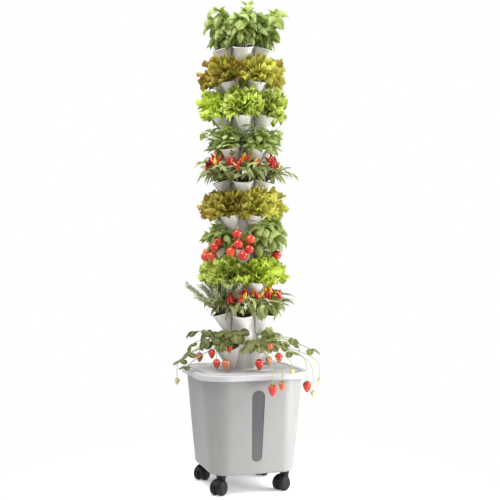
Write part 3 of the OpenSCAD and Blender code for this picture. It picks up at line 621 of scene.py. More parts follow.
def show_size(name, growth):
    """Prints how large a growth is so far."""
    points = np.concatenate(growth.points)
    size = (points.max(axis=0) - points.min(axis=0)) * 1000
    print(f"{name}: {len(points)} points,", " by ".join(f"{length:.0f}" for length in size), "mm")


# %% [markdown]
# ### Grids and frames
# Every form below is a grid of points: a leaf is a flat grid, and a stem or a fruit is one whose last column
# joins its first. The frames say where a form goes: `aim` turns +X by a yaw and a pitch, `heading` is that
# direction alone, and `spiral_foot` spreads stems over the medium by nearly the golden angle, which is how
# plants themselves space their shoots.

# %% Grids and frames
SPIRAL = 2.4  # radians from one stem to the next


def grid_faces(rows, columns, closed=False):
    """Quads over a grid of rows by columns of points. closed joins the last column to the first."""
    i, j = np.meshgrid(np.arange(rows - 1), np.arange(columns if closed else columns - 1), indexing="ij")
    i, j = i.ravel(), j.ravel()
    right = (j + 1) % columns
    below, above = i * columns, (i + 1) * columns
    return np.stack([below + j, below + right, above + right, above + j], axis=1)


def move(points, matrix):
    """Rows of points, moved by a 4 by 4 matrix."""
    m = np.array(matrix)
    return points @ m[:3, :3].T + m[:3, 3]


def aim(origin, yaw, pitch, roll=0.0):
    """A frame at origin whose +X points by yaw round Z and pitch above the level, in degrees."""
    return (Matrix.Translation(origin) @ Matrix.Rotation(math.radians(yaw), 4, "Z")
            @ Matrix.Rotation(-math.radians(pitch), 4, "Y") @ Matrix.Rotation(math.radians(roll), 4, "X"))


def heading(yaw, pitch):
    """The direction that aim gives to +X."""
    return aim((0, 0, 0), yaw, pitch) @ Vector((1, 0, 0))


def spiral_foot(s, radius):
    """Where a plant's stem number s leaves the medium."""
    return Vector((radius * math.cos(s * SPIRAL), radius * math.sin(s * SPIRAL), 0.0))


def taper(thick, loss, steps):
    """A stem's radii, from thick at its foot to loss less at its tip."""
    return [thick - loss * i / steps for i in range(steps + 1)]


def unit(value):
    """The value, kept between 0 and 1."""
    return min(max(value, 0.0), 1.0)


print("a cell of", len(grid_faces(3, 3)), "faces from 3 by 3 points")

# %% [markdown]
# ### Leaf
# Most leaves here are one blade: widest a little below the middle, folded along the midrib, and bent down by
# their own weight. A subdivided plane that is pushed into shape would do for one. For thousands, a formula is
# better: two powers give the outline, a fold and a cup shape the section, and the blade bends more and more
# along its length. Teeth are a saw that is multiplied into the margin.

# %% Leaf
TOOTH = 0.14  # a tooth's depth, as a share of the blade's half width
MIDRIB_PAINT = 0.75


def leaf_outline(u, widest, tip):
    """Half widths along u, which are 1 at widest. A larger tip makes the end more pointed."""
    rise = widest / (1 - widest) * tip
    profile = (u ** rise) * ((1 - u) ** tip)
    return profile / ((widest ** rise) * ((1 - widest) ** tip))


def leaf_spine(bend, length, rows):
    """Places along the midrib, out and up, as it bends down."""
    step = length / rows
    out = np.concatenate([[0.0], np.cumsum(np.cos(bend[:-1, 0]) * step)])
    up = np.concatenate([[0.0], -np.cumsum(np.sin(bend[:-1, 0]) * step)])
    return out[:, None], up[:, None]


def leaf(g, place, length, width, slot=0, widest=0.42, tip=0.9, rows=8, halves=3, fold=0.25, droop=40.0,
         cup=0.0, teeth=0, tone=0.5, twist=0.0, edge=1.0):
    """A blade along the +X of place. fold lifts its sides, cup drops its margin, and droop bends it down."""
    u = np.linspace(0.0, 1.0, rows + 1)[:, None]
    v = np.linspace(-1.0, 1.0, 2 * halves + 1)[None, :]
    profile = leaf_outline(u, widest, tip)
    if teeth:
        saw = 1.0 - TOOTH * np.abs(((u * teeth) % 1.0) - 0.2)
        profile = profile * np.where(np.abs(v) > 0.95, saw, 1.0)
    across = np.maximum(profile, 0.02) * v * width / 2
    bend = np.radians(droop) * u ** 0.75
    spine_x, spine_z = leaf_spine(bend, length, rows)
    lift = fold * np.abs(across) - cup * (across ** 2) / max(width, 1e-6)
    turn = np.radians(twist) * u
    x = spine_x + np.sin(bend) * lift
    y = across * np.cos(turn)
    z = spine_z + np.cos(bend) * lift + across * np.sin(turn)
    points = np.stack([np.broadcast_to(x, y.shape), y, z], axis=-1).reshape(-1, 3)
    along = np.broadcast_to(u, across.shape).ravel()
    side = np.abs(np.broadcast_to(v, across.shape)).ravel()
    midrib = np.clip(1.0 - side * halves, 0, 1) * MIDRIB_PAINT * (1 - 0.7 * along)
    faces = grid_faces(rows + 1, 2 * halves + 1)
    g.add(move(points, place), faces, slot, side ** 2 * edge, tone, midrib, along)


trial = Growth(0)
leaf(trial, Matrix.Identity(4), 0.060, 0.030)
show_size("a trial leaf", trial)

# %% [markdown]
# ### Frill
# A lettuce leaf's margin grows faster than its middle, so it has no room to lie flat and ruffles. Cloth with
# too much length at its edge would do the same, but fifty heads of it would take too long to simulate. Here
# a fan of points gets a fine wave and a slow one, both of which grow towards the margin. The paint is lighter
# on the crests and darker in the troughs, a difference that soft studio light alone would hardly show.

# %% Frill
FAN = math.radians(58)  # half the angle that the fan spreads over
FAN_RINGS, FAN_SPOKES = 6, 60
LOBE_DEPTH = 0.07  # for each lobe on a leaf
FOLD_SHADE = 0.34


def fan_reach(t, lobes, waves, rnd):
    """How far the fan's margin lies from its foot, and the chance phases of its waves."""
    reach = (1.0 - 0.80 * np.abs(t) ** 3.4) ** 0.6
    if lobes:
        lobe = np.abs(np.cos(t * math.pi * lobes / 2 + rnd.uniform(-0.5, 0.5))) ** 0.55
        reach = reach * (1.0 - LOBE_DEPTH * lobes * (1.0 - lobe))
    phase = [rnd.uniform(0, 6.3) for _ in range(4)]
    return reach * (1.0 + 0.03 * np.sin(t * math.pi * waves * 0.8 + phase[3])), phase


def frill(g, place, length, width, lobes, ruffle, waves, arch, tone, edge):
    """A lettuce leaf, from its narrow foot at the origin out along +X. arch bends its tip down."""
    u = np.linspace(0.0, 1.0, FAN_RINGS + 1)[:, None] ** 0.65
    theta = np.linspace(-FAN, FAN, FAN_SPOKES + 1)[None, :]
    t = theta / FAN
    reach, phase = fan_reach(t, lobes, waves, g.random)
    r = u * reach * length
    y = r * np.sin(theta) * (width / length) / math.sin(FAN) / 1.05 * np.clip(0.18 + u, 0, 1)
    out = r * np.cos(theta * 0.62)
    bend = np.radians(arch) * (out / length) ** 1.5
    ripples = t * math.pi * waves
    fine = np.sin(ripples / 2 + phase[0] + 1.4 * u) + 0.55 * np.sin(ripples * 0.83 + phase[2] - 2.0 * u)
    slow = np.sin(ripples * 0.15 + phase[1])
    swell = ruffle * (u ** 2.4 * fine + 1.3 * u ** 1.5 * slow)
    x = out * np.cos(bend * 0.5) + swell * np.sin(bend)
    x = x + ruffle * 0.5 * u ** 3 * np.cos(ripples * 0.6 + phase[1])
    z = -out * np.sin(bend * 0.5) + swell * np.cos(bend) + 0.30 * np.abs(y)
    y = y + ruffle * 0.4 * u ** 3 * np.sin(ripples * 0.5 + phase[3])
    points = np.stack([x, y, z], axis=-1).reshape(-1, 3)
    along = np.broadcast_to(u, y.shape)
    midrib = np.clip(1.0 - np.abs(np.broadcast_to(t, y.shape)) * 9, 0, 1) * (1 - along)
    shade = np.clip(tone + FOLD_SHADE * (u ** 1.2 * fine + 0.5 * slow), 0, 1)
    g.add(move(points, place), grid_faces(FAN_RINGS + 1, FAN_SPOKES + 1), 0, (along ** 3.0).ravel() * edge,
          shade.ravel(), midrib.ravel(), along.ravel())


trial = Growth(0)
frill(trial, Matrix.Identity(4), 0.060, 0.045, 0, 0.006, 17, 50, 0.5, 0.5)
show_size("a trial frill", trial)

# %% [markdown]
# ### Tube
# Stems and stalks are round, thin, and thinner towards their tips. A curve object with a bevel would do, but
# it can't be gathered into the crop's mesh. So rings of points are set along a path, each square to it, and
# each side direction is carried on from the ring before, which keeps the tube from twisting.

# %% Tube
def tube(g, path, radii, sides=6, slot=0, tone=0.5):
    """A stem along path, a list of points, with a radius at each."""
    path = [Vector(p) for p in path]
    rings = []
    side = Vector((1, 0, 0))
    for i, p in enumerate(path):
        ahead = (path[min(i + 1, len(path) - 1)] - path[max(i - 1, 0)]).normalized()
        side = side - ahead * side.dot(ahead)
        if side.length < 1e-4:
            side = ahead.orthogonal()
        side.normalize()
        up = ahead.cross(side)
        for j in range(sides):
            a = 2 * math.pi * j / sides
            rings.append(p + (side * math.cos(a) + up * math.sin(a)) * radii[i])
    points = np.array([tuple(p) for p in rings])
    g.add(points, grid_faces(len(path), sides, closed=True), slot, 0.0, tone, 0.0,
          np.repeat(np.linspace(0, 1, len(path)), sides))


def arc(a, b, bow=(0, 0, 0), steps=6):
    """Points from a to b, bowed by the vector bow halfway."""
    a, b, bow = Vector(a), Vector(b), Vector(bow)
    return [a.lerp(b, t) + bow * (4 * t * (1 - t)) for t in (i / steps for i in range(steps + 1))]


trial = Growth(0)
tube(trial, arc((0, 0, 0), (0.05, 0, 0.05), (0, 0, 0.01)), taper(0.002, 0.001, 6))
show_size("a trial stem", trial)

# %% [markdown]
# ### Bead and calyx
# Chillies, tomatoes and strawberries are all turned shapes, so one function spins a profile into a skin, and
# can bend it, as a chilli is bent. Each fruit hangs from a star of small green sepals, the calyx, which also
# hides where its stalk goes in.

# %% Bead and calyx
SEPAL = {"widest": 0.3, "tip": 1.0, "rows": 4, "halves": 1, "fold": 0.1}


def bead(g, place, profile, sides, tone, bend=0.0, unripe=0.0):
    """A solid of revolution about the +Z of place. profile holds (radius, height), from top to bottom."""
    rows = len(profile)
    radius = np.array([p[0] for p in profile])[:, None]
    height = np.array([p[1] for p in profile])[:, None]
    angle = np.linspace(0, 2 * math.pi, sides, endpoint=False)[None, :]
    points = np.stack([radius * np.cos(angle) + bend * (height ** 2), radius * np.sin(angle),
                       height + 0 * angle], axis=-1).reshape(-1, 3)
    along = np.repeat(np.linspace(0, 1, rows), sides)
    g.add(move(points, place), grid_faces(rows, sides, closed=True), 0, unripe, tone, 0.0, along)


def calyx(g, place, sepals, length, width, slot, droop, pitch, tone):
    """A star of small green sepals about the +Z of place."""
    for i in range(sepals):
        yaw = 360 * i / sepals + g.random.uniform(-12, 12)
        leaf(g, place @ aim((0, 0, 0), yaw, pitch), length * g.random.uniform(0.85, 1.15), width, slot,
             droop=droop, tone=tone, **SEPAL)


trial = Growth(0)
calyx(trial, Matrix.Identity(4), 5, 0.010, 0.003, 0, 50, 12, 0.5)
show_size("a trial calyx", trial)

# %% [markdown]
# ## Growing medium
# Each pot is filled to just under the cup's mouth. A flat disc would look like a lid, so its surface is
# raised and sunk by three waves that run round and across it, and it falls away at the pot's wall.

# %% Growing medium
MEDIUM_R = 0.0238
MEDIUM_RINGS, MEDIUM_SIDES = 9, 30
LUMP_WAVES = ((240, 2), (520, 5), (900, 9))  # how fast each wave runs outwards, and how often round
LUMP_HEIGHT = 0.00045
MEDIUM_SKIRT = 0.012


def medium_in_cup(medium, cup):
    """The medium's surface in one cup, with a skirt down the pot's wall."""
    radius = np.linspace(0.0005, MEDIUM_R, MEDIUM_RINGS)[:, None]
    angle = np.linspace(0, 2 * math.pi, MEDIUM_SIDES, endpoint=False)[None, :]
    lumps = LUMP_HEIGHT * sum(np.sin(radius * w + angle * m + medium.random.uniform(0, 6.3))
                              for w, m in LUMP_WAVES)
    height = CUP_LENGTH - MEDIUM_DROP - 0.0006 + lumps - 0.0022 * (radius / MEDIUM_R) ** 6
    points = np.stack([radius * np.cos(angle), radius * np.sin(angle), height], axis=-1).reshape(-1, 3)
    skirt = np.stack([MEDIUM_R * np.cos(angle[0]), MEDIUM_R * np.sin(angle[0]),
                      np.full(MEDIUM_SIDES, CUP_LENGTH - MEDIUM_SKIRT)], axis=-1)
    points = np.concatenate([points, skirt])
    medium.add(move(points, cup), grid_faces(MEDIUM_RINGS + 1, MEDIUM_SIDES, closed=True))


medium = Growth(3)
for cup in CUP_FRAMES.values():
    medium_in_cup(medium, cup)
medium_piece = medium.build("growing_medium_surface", [soil])
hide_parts("growing_medium")

# %% [markdown]
# ## Basil
# Basil grows as a bush of soft stems. At each node two leaves stand opposite each other, and each pair
# crosses the pair below. The leaves are broad, glossy and cupped downwards, and the youngest stand upright
# at the tip. Scattering leaves over a ball would be quicker, but then no stem would show between them, so
# each stem is grown with its own pairs.

# %% Basil bush
BASIL_LEAF = {"widest": 0.42, "tip": 0.72, "rows": 10, "halves": 3, "fold": 0.04, "cup": 2.2}
BASIL_TIP = {"widest": 0.42, "tip": 0.7, "rows": 6, "halves": 2, "fold": 0.15, "droop": 60, "cup": 1.5}
LEAVES, STEMS = 0, 1  # slots of the materials in each crop's mesh


def basil_bush(g, home, stems, height, leaf_length, lean, spread, droop, low, pairs=4):
    """Stems that lean by lean degrees, with pairs of leaves from the share low of their height upwards."""
    rnd = g.random
    for s in range(stems):
        yaw = spread * math.sin(s * SPIRAL + 0.5)
        tilt = 90 - rnd.uniform(*lean)
        tall = height * (1.0 if s == 0 else rnd.uniform(0.50, 0.96))
        foot = spiral_foot(s, 0.010)
        top = foot + heading(yaw, tilt) * tall
        path = arc(foot, top, (0.004 * rnd.uniform(-1, 1), 0.004 * rnd.uniform(-1, 1), 0.0), 8)
        tube(g, [home @ p for p in path], taper(0.0021, 0.0011, 8), 6, STEMS, rnd.random())
        for j in range(pairs):
            t = low + (1 - low) * j / (pairs - 1)
            at = path[0].lerp(path[-1], t)
            size = leaf_length * rnd.uniform(0.78, 1.12)
            tone = unit(0.10 + 0.70 * t + rnd.uniform(-0.3, 0.3))
            for half in (0, 180):
                turn = yaw + 90 * j + half + rnd.uniform(-28, 28)
                place = home @ aim(at, turn, 18 + 22 * t + rnd.uniform(-14, 14), rnd.uniform(-20, 20))
                leaf(g, place, size, size * rnd.uniform(0.42, 0.52), droop=droop * rnd.uniform(0.75, 1.2),
                     tone=tone, twist=rnd.uniform(-20, 20), **BASIL_LEAF)
        for quarter in range(4):
            leaf(g, home @ aim(top, yaw + 90 * quarter + 45, 52, 0), leaf_length * 0.46, leaf_length * 0.26,
                 tone=rnd.uniform(0.6, 1.0), **BASIL_TIP)


# %% [markdown]
# ### The basil of tier 1
# Five bushes crown the tower. The third is the tallest and the others are each a little lower, so the top
# is rounded and uneven, as a crop that is picked from now and then would be.

# %% The basil of tier 1
BASIL_HEIGHTS = (0.112, 0.118, 0.124, 0.116, 0.110)
g = Growth(11)
for k, tall in enumerate(BASIL_HEIGHTS):
    basil_bush(g, plant_matrix(1, k), 7, tall, 0.060, (3, 20), 150.0, 150.0, 0.42)
basil = g.build("basil", [BASIL, STEM], 1)
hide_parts("plants_01_basil")

# %% [markdown]
# ## Lettuce
# A head of lettuce is a rosette: long leaves lie low all round, and shorter ones stand up in its heart. The
# oak-leaf kind has lobes and bronze margins, and the green kind is paler and more tightly ruffled. A head
# could be one crumpled ball, but its rows of leaves throw the shade that makes it read as lettuce. So a head
# is built in five rows, from the lowest to the heart.

# %% Lettuce head
# How many leaves a row has, their length as a share, the pitch at which they leave the crown, how far they
# arch, and their tone. The heart's row has the lowest tone, a painted shade in the rosette's hollow.
ROSETTE = ((7, 0.92, (2, 14), 36, 0.45), (8, 1.02, (20, 36), 46, 0.60), (8, 1.14, (42, 58), 46, 0.60),
           (7, 1.26, (60, 74), 40, 0.45), (5, 1.24, (76, 88), 26, 0.30))
ROW_TURN = 900  # degrees that each row is turned by, times its share, so that no two rows line up
LOW_PITCH, TOWER_SIDE = 40, -0.35  # a low leaf that points at the column is left out


def lettuce_head(g, home, size, lobes, ruffle, waves, margin_share, bright):
    """A rosette of frills. margin_share is how strongly its margins take the margin colour, and bright lifts
    its tone.
    """
    rnd = g.random
    for leaves, share, pitch, arch, tone in ROSETTE:
        for i in range(leaves):
            yaw = 360 * (i + rnd.uniform(-0.3, 0.3)) / leaves + share * ROW_TURN
            outwards = math.cos(math.radians(yaw))
            if outwards < TOWER_SIDE and pitch[0] < LOW_PITCH:
                continue
            length = size * share * rnd.uniform(0.84, 1.12) * (0.94 + 0.16 * outwards)
            foot = Vector((0.004 * outwards, 0.004 * math.sin(math.radians(yaw)), 0.001))
            place = home @ aim(foot, yaw, rnd.uniform(*pitch), rnd.uniform(-16, 16))
            frill(g, place, length, size * rnd.uniform(0.62, 0.86), lobes, ruffle, waves,
                  arch * rnd.uniform(0.7, 1.3), unit(tone + bright + rnd.uniform(-0.25, 0.25)),
                  unit(margin_share + rnd.uniform(-0.4, 0.4)))


# %% [markdown]
# ### Four tiers of lettuce
# Tiers 2 and 6 hold the oak-leaf kind, and tiers 3 and 8 the green one. The photograph's heads aren't alike:
# some are greener and some are redder, so each cup has its own share of margin colour
# and its own brightness.

# %% Lettuces of tiers 2, 3, 6 and 8
# Tier, piece, node, slot, material, size, lobes, ruffle's height and how many waves it has
LETTUCES = [
    (2, "oak_lettuce_02", "plants_02_oak_lettuce", "oak_lettuce_leaf", OAK, 0.061, 3, 0.0058, 17),
    (3, "lettuce_03", "plants_03_lettuce", "lettuce_leaf", LETTUCE, 0.059, 0, 0.0062, 19),
    (6, "oak_lettuce_06", "plants_06_oak_lettuce", "oak_lettuce_leaf", OAK, 0.061, 3, 0.0058, 17),
    (8, "lettuce_08", "plants_08_lettuce", "lettuce_leaf", LETTUCE, 0.057, 0, 0.0062, 19),
]
# How much margin colour the head in each cup shows (bronze on the oak-leaf kind, and on the green kind a pale
# frill that is partly painted highlight), and how bright it is
MARGIN_SHARES, BRIGHT = (0.25, 0.70, 1.00, 0.75, 0.20), (0.22, -0.05, -0.20, -0.10, 0.22)
for n, name, node, slot_name, material, size, lobes, ruffle, waves in LETTUCES:
    g = Growth(20 + n)
    for k in range(CUPS):
        lettuce_head(g, plant_matrix(n, k), size, lobes, ruffle, waves, MARGIN_SHARES[k], BRIGHT[k])
    piece = g.build(name, [material], n)
    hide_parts(node)

# %% [markdown]
# ## Mint
# Mint grows as a thicket of thin stems with small, toothed, wrinkled leaves in crossed pairs. It could be
# basil at a smaller size, but basil's leaves are smooth and hang, and mint's are flatter and toothed. So it
# has its own stem, and the stems lean away from each other at the front, where the column shows between the
# two plants.

# %% Mint
MINT_LEAF = {"widest": 0.42, "tip": 0.80, "rows": 14, "halves": 3, "fold": 0.10, "cup": 1.2, "teeth": 9}
MINT_LENGTH, MINT_SLENDER, MINT_DROOP = 0.048, 0.52, 95
MINT_PAIRS, MINT_STEMS = 4, 13
MINT_TURN = {3: -28, 4: 28}  # the two front plants lean apart, in degrees


def mint_stem(g, home, foot, yaw, tilt, tall):
    """A thin stem with crossed pairs of leaves all the way up."""
    rnd = g.random
    path = arc(foot, foot + heading(yaw, tilt) * tall, (0, 0, 0), 8)
    tube(g, [home @ p for p in path], taper(0.0013, 0.0006, 8), 5, STEMS, rnd.random())
    for j in range(MINT_PAIRS):
        t = 0.22 + 0.78 * j / (MINT_PAIRS - 1)
        at = path[min(int(t * 8), 8)]
        length = MINT_LENGTH * (1.1 - 0.4 * t) * rnd.uniform(0.8, 1.15)
        for half in (0, 180):
            turn = yaw + 90 * j + half + rnd.uniform(-20, 20)
            place = home @ aim(at, turn, 20 + rnd.uniform(-15, 25), rnd.uniform(-20, 20))
            leaf(g, place, length, length * MINT_SLENDER, droop=MINT_DROOP * rnd.uniform(0.6, 1.3),
                 tone=rnd.uniform(0.0, 1.0), **MINT_LEAF)


g = Growth(41)
for k in range(CUPS):
    home = plant_matrix(4, k)
    for s in range(MINT_STEMS):
        yaw = MINT_TURN.get(k, 0) + 88 * math.sin(s * SPIRAL)
        tilt = g.random.uniform(40, 88)
        mint_stem(g, home, spiral_foot(s, 0.011), yaw, tilt, g.random.uniform(0.046, 0.084))
mint = g.build("mint", [MINT, STEM], 4)
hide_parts("plants_04_mint")

# %% [markdown]
# ## Ornamental chillies
# Woody stems fork low and carry slender leaves that hang. The pods stand upright above them in clusters,
# from yellow through orange to red, and a few small white flowers are open among them. The three are grown
# one after the other, because pods and flowers sit where stems end. The pods of both tiers go into one mesh
# of their own, as in the CAD model.

# %% Chilli stems and leaves
CHILLI_LEAF = {"widest": 0.42, "tip": 0.8, "rows": 9, "halves": 2, "fold": 0.30}
CHILLI_STEMS, LEAVES_A_STEM = 9, 9
PALE_EDGES = (0.0, 0.0, 0.6, 1.0)  # every second leaf, by chance, has a pale margin
# Where a plant's pods gather: yaw from outwards in degrees, then metres out of the cup's middle and above it
POD_CLUSTERS = ((0, 0.046, 0.046), (58, 0.040, 0.050), (-58, 0.040, 0.050), (12, 0.016, 0.064))
GREEN, FLOWERS = 2, 3  # slots of green stalks or needles, and of petals


def chilli_foliage(g, home, hang):
    """Stems with leaves that arch over, and the ends of the stems as (place, yaw). hang lets leaves droop."""
    rnd = g.random
    tops = []
    for s in range(CHILLI_STEMS):
        yaw = 112 * math.sin(s * SPIRAL + 0.7)
        foot = spiral_foot(s, 0.007)
        tilt = rnd.uniform(24, 68) / hang
        top = foot + heading(yaw, tilt) * rnd.uniform(0.056, 0.084)
        path = arc(foot, top, (0, 0, 0.006), 6)
        tube(g, [home @ p for p in path], taper(0.0017, 0.0009, 6), 6, STEMS, rnd.random())
        tops.append((top, yaw))
        for j in range(LEAVES_A_STEM):
            size = rnd.uniform(0.040, 0.070)
            turn = yaw + 137 * j + rnd.uniform(-20, 20)
            place = home @ aim(path[2 + j % 5], turn, rnd.uniform(-5, 40), rnd.uniform(-35, 35))
            leaf(g, place, size, size * rnd.uniform(0.17, 0.25), droop=hang * rnd.uniform(20, 115),
                 tone=rnd.uniform(0.0, 1.0), twist=rnd.uniform(-30, 30), edge=rnd.choice(PALE_EDGES),
                 **CHILLI_LEAF)
    for yaw, out, up in POD_CLUSTERS:
        turn = yaw + rnd.uniform(-12, 12)
        top = aim((0, 0, 0), turn, 0) @ Vector((out, 0, up + rnd.uniform(-0.008, 0.006)))
        path = arc((0, 0, 0.001), top, (0, 0, 0.006), 6)
        tube(g, [home @ p for p in path], [0.0014] * 7, 6, STEMS, rnd.random())
        tops.append((top, turn))
    return tops


# %% [markdown]
# ### Pods and flowers
# A pod is a turned shape with a slight bend, on a short green stalk. Most pods are ripe, and a few are still
# orange or yellow. A flower is five small petals, opened like a cup. It could be left out at this size, but
# the white specks show in the photograph.

# %% Pods and flowers
POD_PROFILE = [(0.0012, 0.0), (0.0042, 0.0008), (0.0053, 0.004), (0.0049, 0.009), (0.0038, 0.015),
               (0.0022, 0.020), (0.0008, 0.0238), (0.0002, 0.0250)]
POD_BEND = 3.5
PODS_A_PLANT, FLOWERS_A_PLANT = 18, 12
POD_RIPENESS = (0.0, 0.0, 0.0, 0.0, 0.1, 0.5, 1.0)  # 0 is red, and 1 is yellow
CHILLI_PETAL = {"widest": 0.5, "tip": 0.6, "rows": 4, "halves": 1, "fold": 0.1, "droop": 30}


def nudge(rnd, side, low, high):
    """A small step by chance: up to side either way in X and Y, and from low to high in Z."""
    return Vector((rnd.uniform(-side, side), rnd.uniform(-side, side), rnd.uniform(low, high)))


def chilli_pods(g, pods, home, tops):
    """Pods that stand in clusters on the last ends in tops."""
    rnd = g.random
    for i in range(PODS_A_PLANT):
        top = tops[-1 - i % len(POD_CLUSTERS)][0]
        base = top + nudge(rnd, 0.010, -0.012, 0.002)
        place = home @ aim(base, 137 * i + rnd.uniform(-30, 30), 90 - rnd.uniform(4, 46))
        place = place @ Matrix.Rotation(math.pi / 2, 4, "Y")
        unripe = rnd.choice(POD_RIPENESS)
        size = rnd.uniform(0.92, 1.25)
        bead(pods, place @ Matrix.Scale(size, 4), POD_PROFILE, 10, rnd.random(), POD_BEND, unripe)
        stalk = [home @ top, home @ base, place @ Vector((0, 0, 0.001))]
        tube(g, stalk, [0.0009, 0.0009, 0.0016], 5, GREEN, 0.5)
        calyx(g, place, 5, 0.0042, 0.0028, GREEN, 40, 35, 0.5)


def chilli_flowers(g, home, tops):
    """Small white flowers near the ends of the stems."""
    rnd = g.random
    for i in range(FLOWERS_A_PLANT):
        top, yaw = tops[(3 * i + 1) % len(tops)]
        at = top + nudge(rnd, 0.014, -0.024, 0.004)
        place = home @ aim(at, yaw + rnd.uniform(-50, 50), rnd.uniform(10, 70))
        tube(g, [home @ top, home @ at], [0.0006, 0.0006], 4, GREEN, 0.5)
        for p in range(5):
            petal = place @ Matrix.Rotation(math.radians(72 * p), 4, "X") @ aim((0, 0, 0), 0, 62)
            leaf(g, petal, 0.0078, 0.0056, FLOWERS, **CHILLI_PETAL)


# %% [markdown]
# ### The chillies of tiers 5 and 9
# Tier 5 holds five chilli plants. Tier 9 holds four, since its left cup belongs to the rosemary. Its mesh is
# built in the next step, once the rosemary is in it too.

# %% The chillies of tiers 5 and 9
HANG = {5: 1.0, 9: 1.3}  # tier 9's hang further
pods = Growth(51)
chilli_growths = {}
for n, cups in ((5, range(CUPS)), (9, range(1, CUPS))):
    g = Growth(50 + n)
    chilli_growths[n] = g
    for k in cups:
        home = plant_matrix(n, k)
        tops = chilli_foliage(g, home, HANG[n])
        chilli_pods(g, pods, home, tops)
        chilli_flowers(g, home, tops)
chilli = chilli_growths[5].build("chilli_plants_05", [CHILLI, BARK, STEM, PETAL], 5)
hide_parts("plants_05_chilli")
pod_piece = pods.build("chilli_pods_ripe", [CHILLI_SKIN])
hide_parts("chilli_pods")

# %% [markdown]
# ## Rosemary
# Rosemary fills the left cup of tier 9, beside the chillies. Its stiff sprigs fan out to the left, and each
# is set all round with narrow needles that point up along it. Needles could be hair particles, but those
# don't come out as a mesh. Each needle is a leaf of three rows instead, the smallest that still folds.

# %% Rosemary
NEEDLE = {"widest": 0.5, "tip": 0.35, "rows": 3, "halves": 1, "fold": 0.2, "droop": 15}
NEEDLE_LENGTH, NEEDLE_WIDTH = 0.0205, 0.0023
NEEDLES_A_METRE, NEEDLE_TURN = 560, 137.5
SPRIGS, SPRIG_STEPS = 46, 10


def rosemary_sprig(g, home, foot, yaw, tilt, tall, bow):
    """A woody stem, set with needles from a little above its foot to its tip."""
    rnd = g.random
    path = arc(foot, foot + heading(yaw, tilt) * tall, bow, SPRIG_STEPS)
    tube(g, [home @ p for p in path], taper(0.0014, 0.0008, SPRIG_STEPS), 5, STEMS, rnd.random())
    needles = int(tall * NEEDLES_A_METRE)
    for j in range(needles):
        t = 0.15 + 0.85 * j / needles
        step = int(t * SPRIG_STEPS)
        above = path[min(step + 1, SPRIG_STEPS)]
        at = path[step].lerp(above, (t * SPRIG_STEPS) % 1.0)
        along = (above - path[max(step - 1, 0)]).normalized()
        frame_here = along.to_track_quat("X", "Z").to_matrix().to_4x4()
        roll = Matrix.Rotation(math.radians(NEEDLE_TURN * j), 4, "X")
        place = home @ Matrix.Translation(at) @ frame_here @ roll @ aim((0, 0, 0), 0, rnd.uniform(28, 50))
        size = NEEDLE_LENGTH * rnd.uniform(0.75, 1.2) * (1.1 - 0.45 * t)
        leaf(g, place, size, NEEDLE_WIDTH, GREEN, tone=rnd.uniform(0.0, 1.0), **NEEDLE)


g = chilli_growths[9]
home = plant_matrix(9, 0)
for s in range(SPRIGS):
    yaw = 25 + 95 * math.sin(s * SPIRAL + 0.3)
    tilt = g.random.uniform(34, 88)
    tall = g.random.uniform(0.085, 0.146)
    rosemary_sprig(g, home, spiral_foot(s, 0.010), yaw, tilt, tall, (0, 0, g.random.uniform(0.0, 0.012)))
tier_nine = g.build("rosemary_and_chillies_09", [CHILLI, BARK, ROSEMARY, PETAL], 9)
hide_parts("plants_09_rosemary")

# %% [markdown]
# ## Tomatoes and basil
# Tier 7 mixes cherry tomatoes with basil. A tomato's leaf is compound: pairs of toothed leaflets along a
# drooping stalk, and a larger one at its end. One blade with deep lobes would look like another plant, so
# each leaflet is a blade of its own.

# %% Tomato leaves
TOMATO_LEAFLET = {"tip": 0.9, "rows": 10, "halves": 3, "fold": 0.15, "cup": 0.8, "teeth": 6}


def compound_leaf(g, home, foot, yaw, tilt, length, leaflet, droop):
    """A tomato leaf: pairs of leaflets along a drooping stalk, and one at its end."""
    rnd = g.random
    path = arc(foot, foot + heading(yaw, tilt) * length, (0, 0, length * 0.16), 8)
    tube(g, [home @ p for p in path], taper(0.0014, 0.0007, 8), 5, STEMS, rnd.random())
    for j, step in enumerate((3, 5, 7)):
        for side in (-1, 1):
            size = leaflet * (0.75 + 0.1 * j) * rnd.uniform(0.85, 1.15)
            turn = yaw + side * rnd.uniform(50, 75)
            place = home @ aim(path[step], turn, rnd.uniform(-10, 15), rnd.uniform(-20, 20))
            leaf(g, place, size, size * 0.55, widest=0.38, droop=droop, tone=rnd.random(), **TOMATO_LEAFLET)
    leaf(g, home @ aim(path[-1], yaw, tilt * 0.2, 0), leaflet * 1.15, leaflet * 0.7, widest=0.40, droop=droop,
         tone=rnd.random(), **TOMATO_LEAFLET)


g = Growth(71)
for k in (0, 2, 4):
    stems, tall, length = (11, 0.080, 0.070) if k else (7, 0.066, 0.054)
    basil_bush(g, plant_matrix(7, k), stems, tall, length, (6, 48), 110, 155, 0.34)
for k, count in ((0, 5), (3, 10)):
    home = plant_matrix(7, k)
    for s in range(count):
        yaw = 105 * math.sin(s * SPIRAL + 0.4)
        foot = Vector((0.006, 0.006 * math.sin(s), 0))
        tilt = g.random.uniform(18, 62)
        compound_leaf(g, home, foot, yaw, tilt, g.random.uniform(0.034, 0.058), 0.034, 70)
home = plant_matrix(7, 1)
for s in range(3):
    foot = Vector((0.0, 0.006 * (s - 1), 0))
    compound_leaf(g, home, foot, 75 * (s - 1), g.random.uniform(48, 66), 0.034, 0.022, 60)
print("faces so far:", len(g.faces))

# %% [markdown]
# ### The tomatoes themselves
# The fruit hangs in trusses over the rims: each tomato is slightly flat, with a dimple at its top, and hangs
# from a stalk with a knuckle under a star of sepals. The places are set one by one, because the photograph
# shows where each one hangs.

# %% Tomatoes
TOMATO_R = 0.0135
RIPE_R = (0.0140, 0.0150)
TOMATO_RIPENESS = (0.0, 0.0, 0.15, 0.45)  # 0 is red, and 1 would be orange
FRUIT_LEAN = (-0.25, 0.25)  # radians
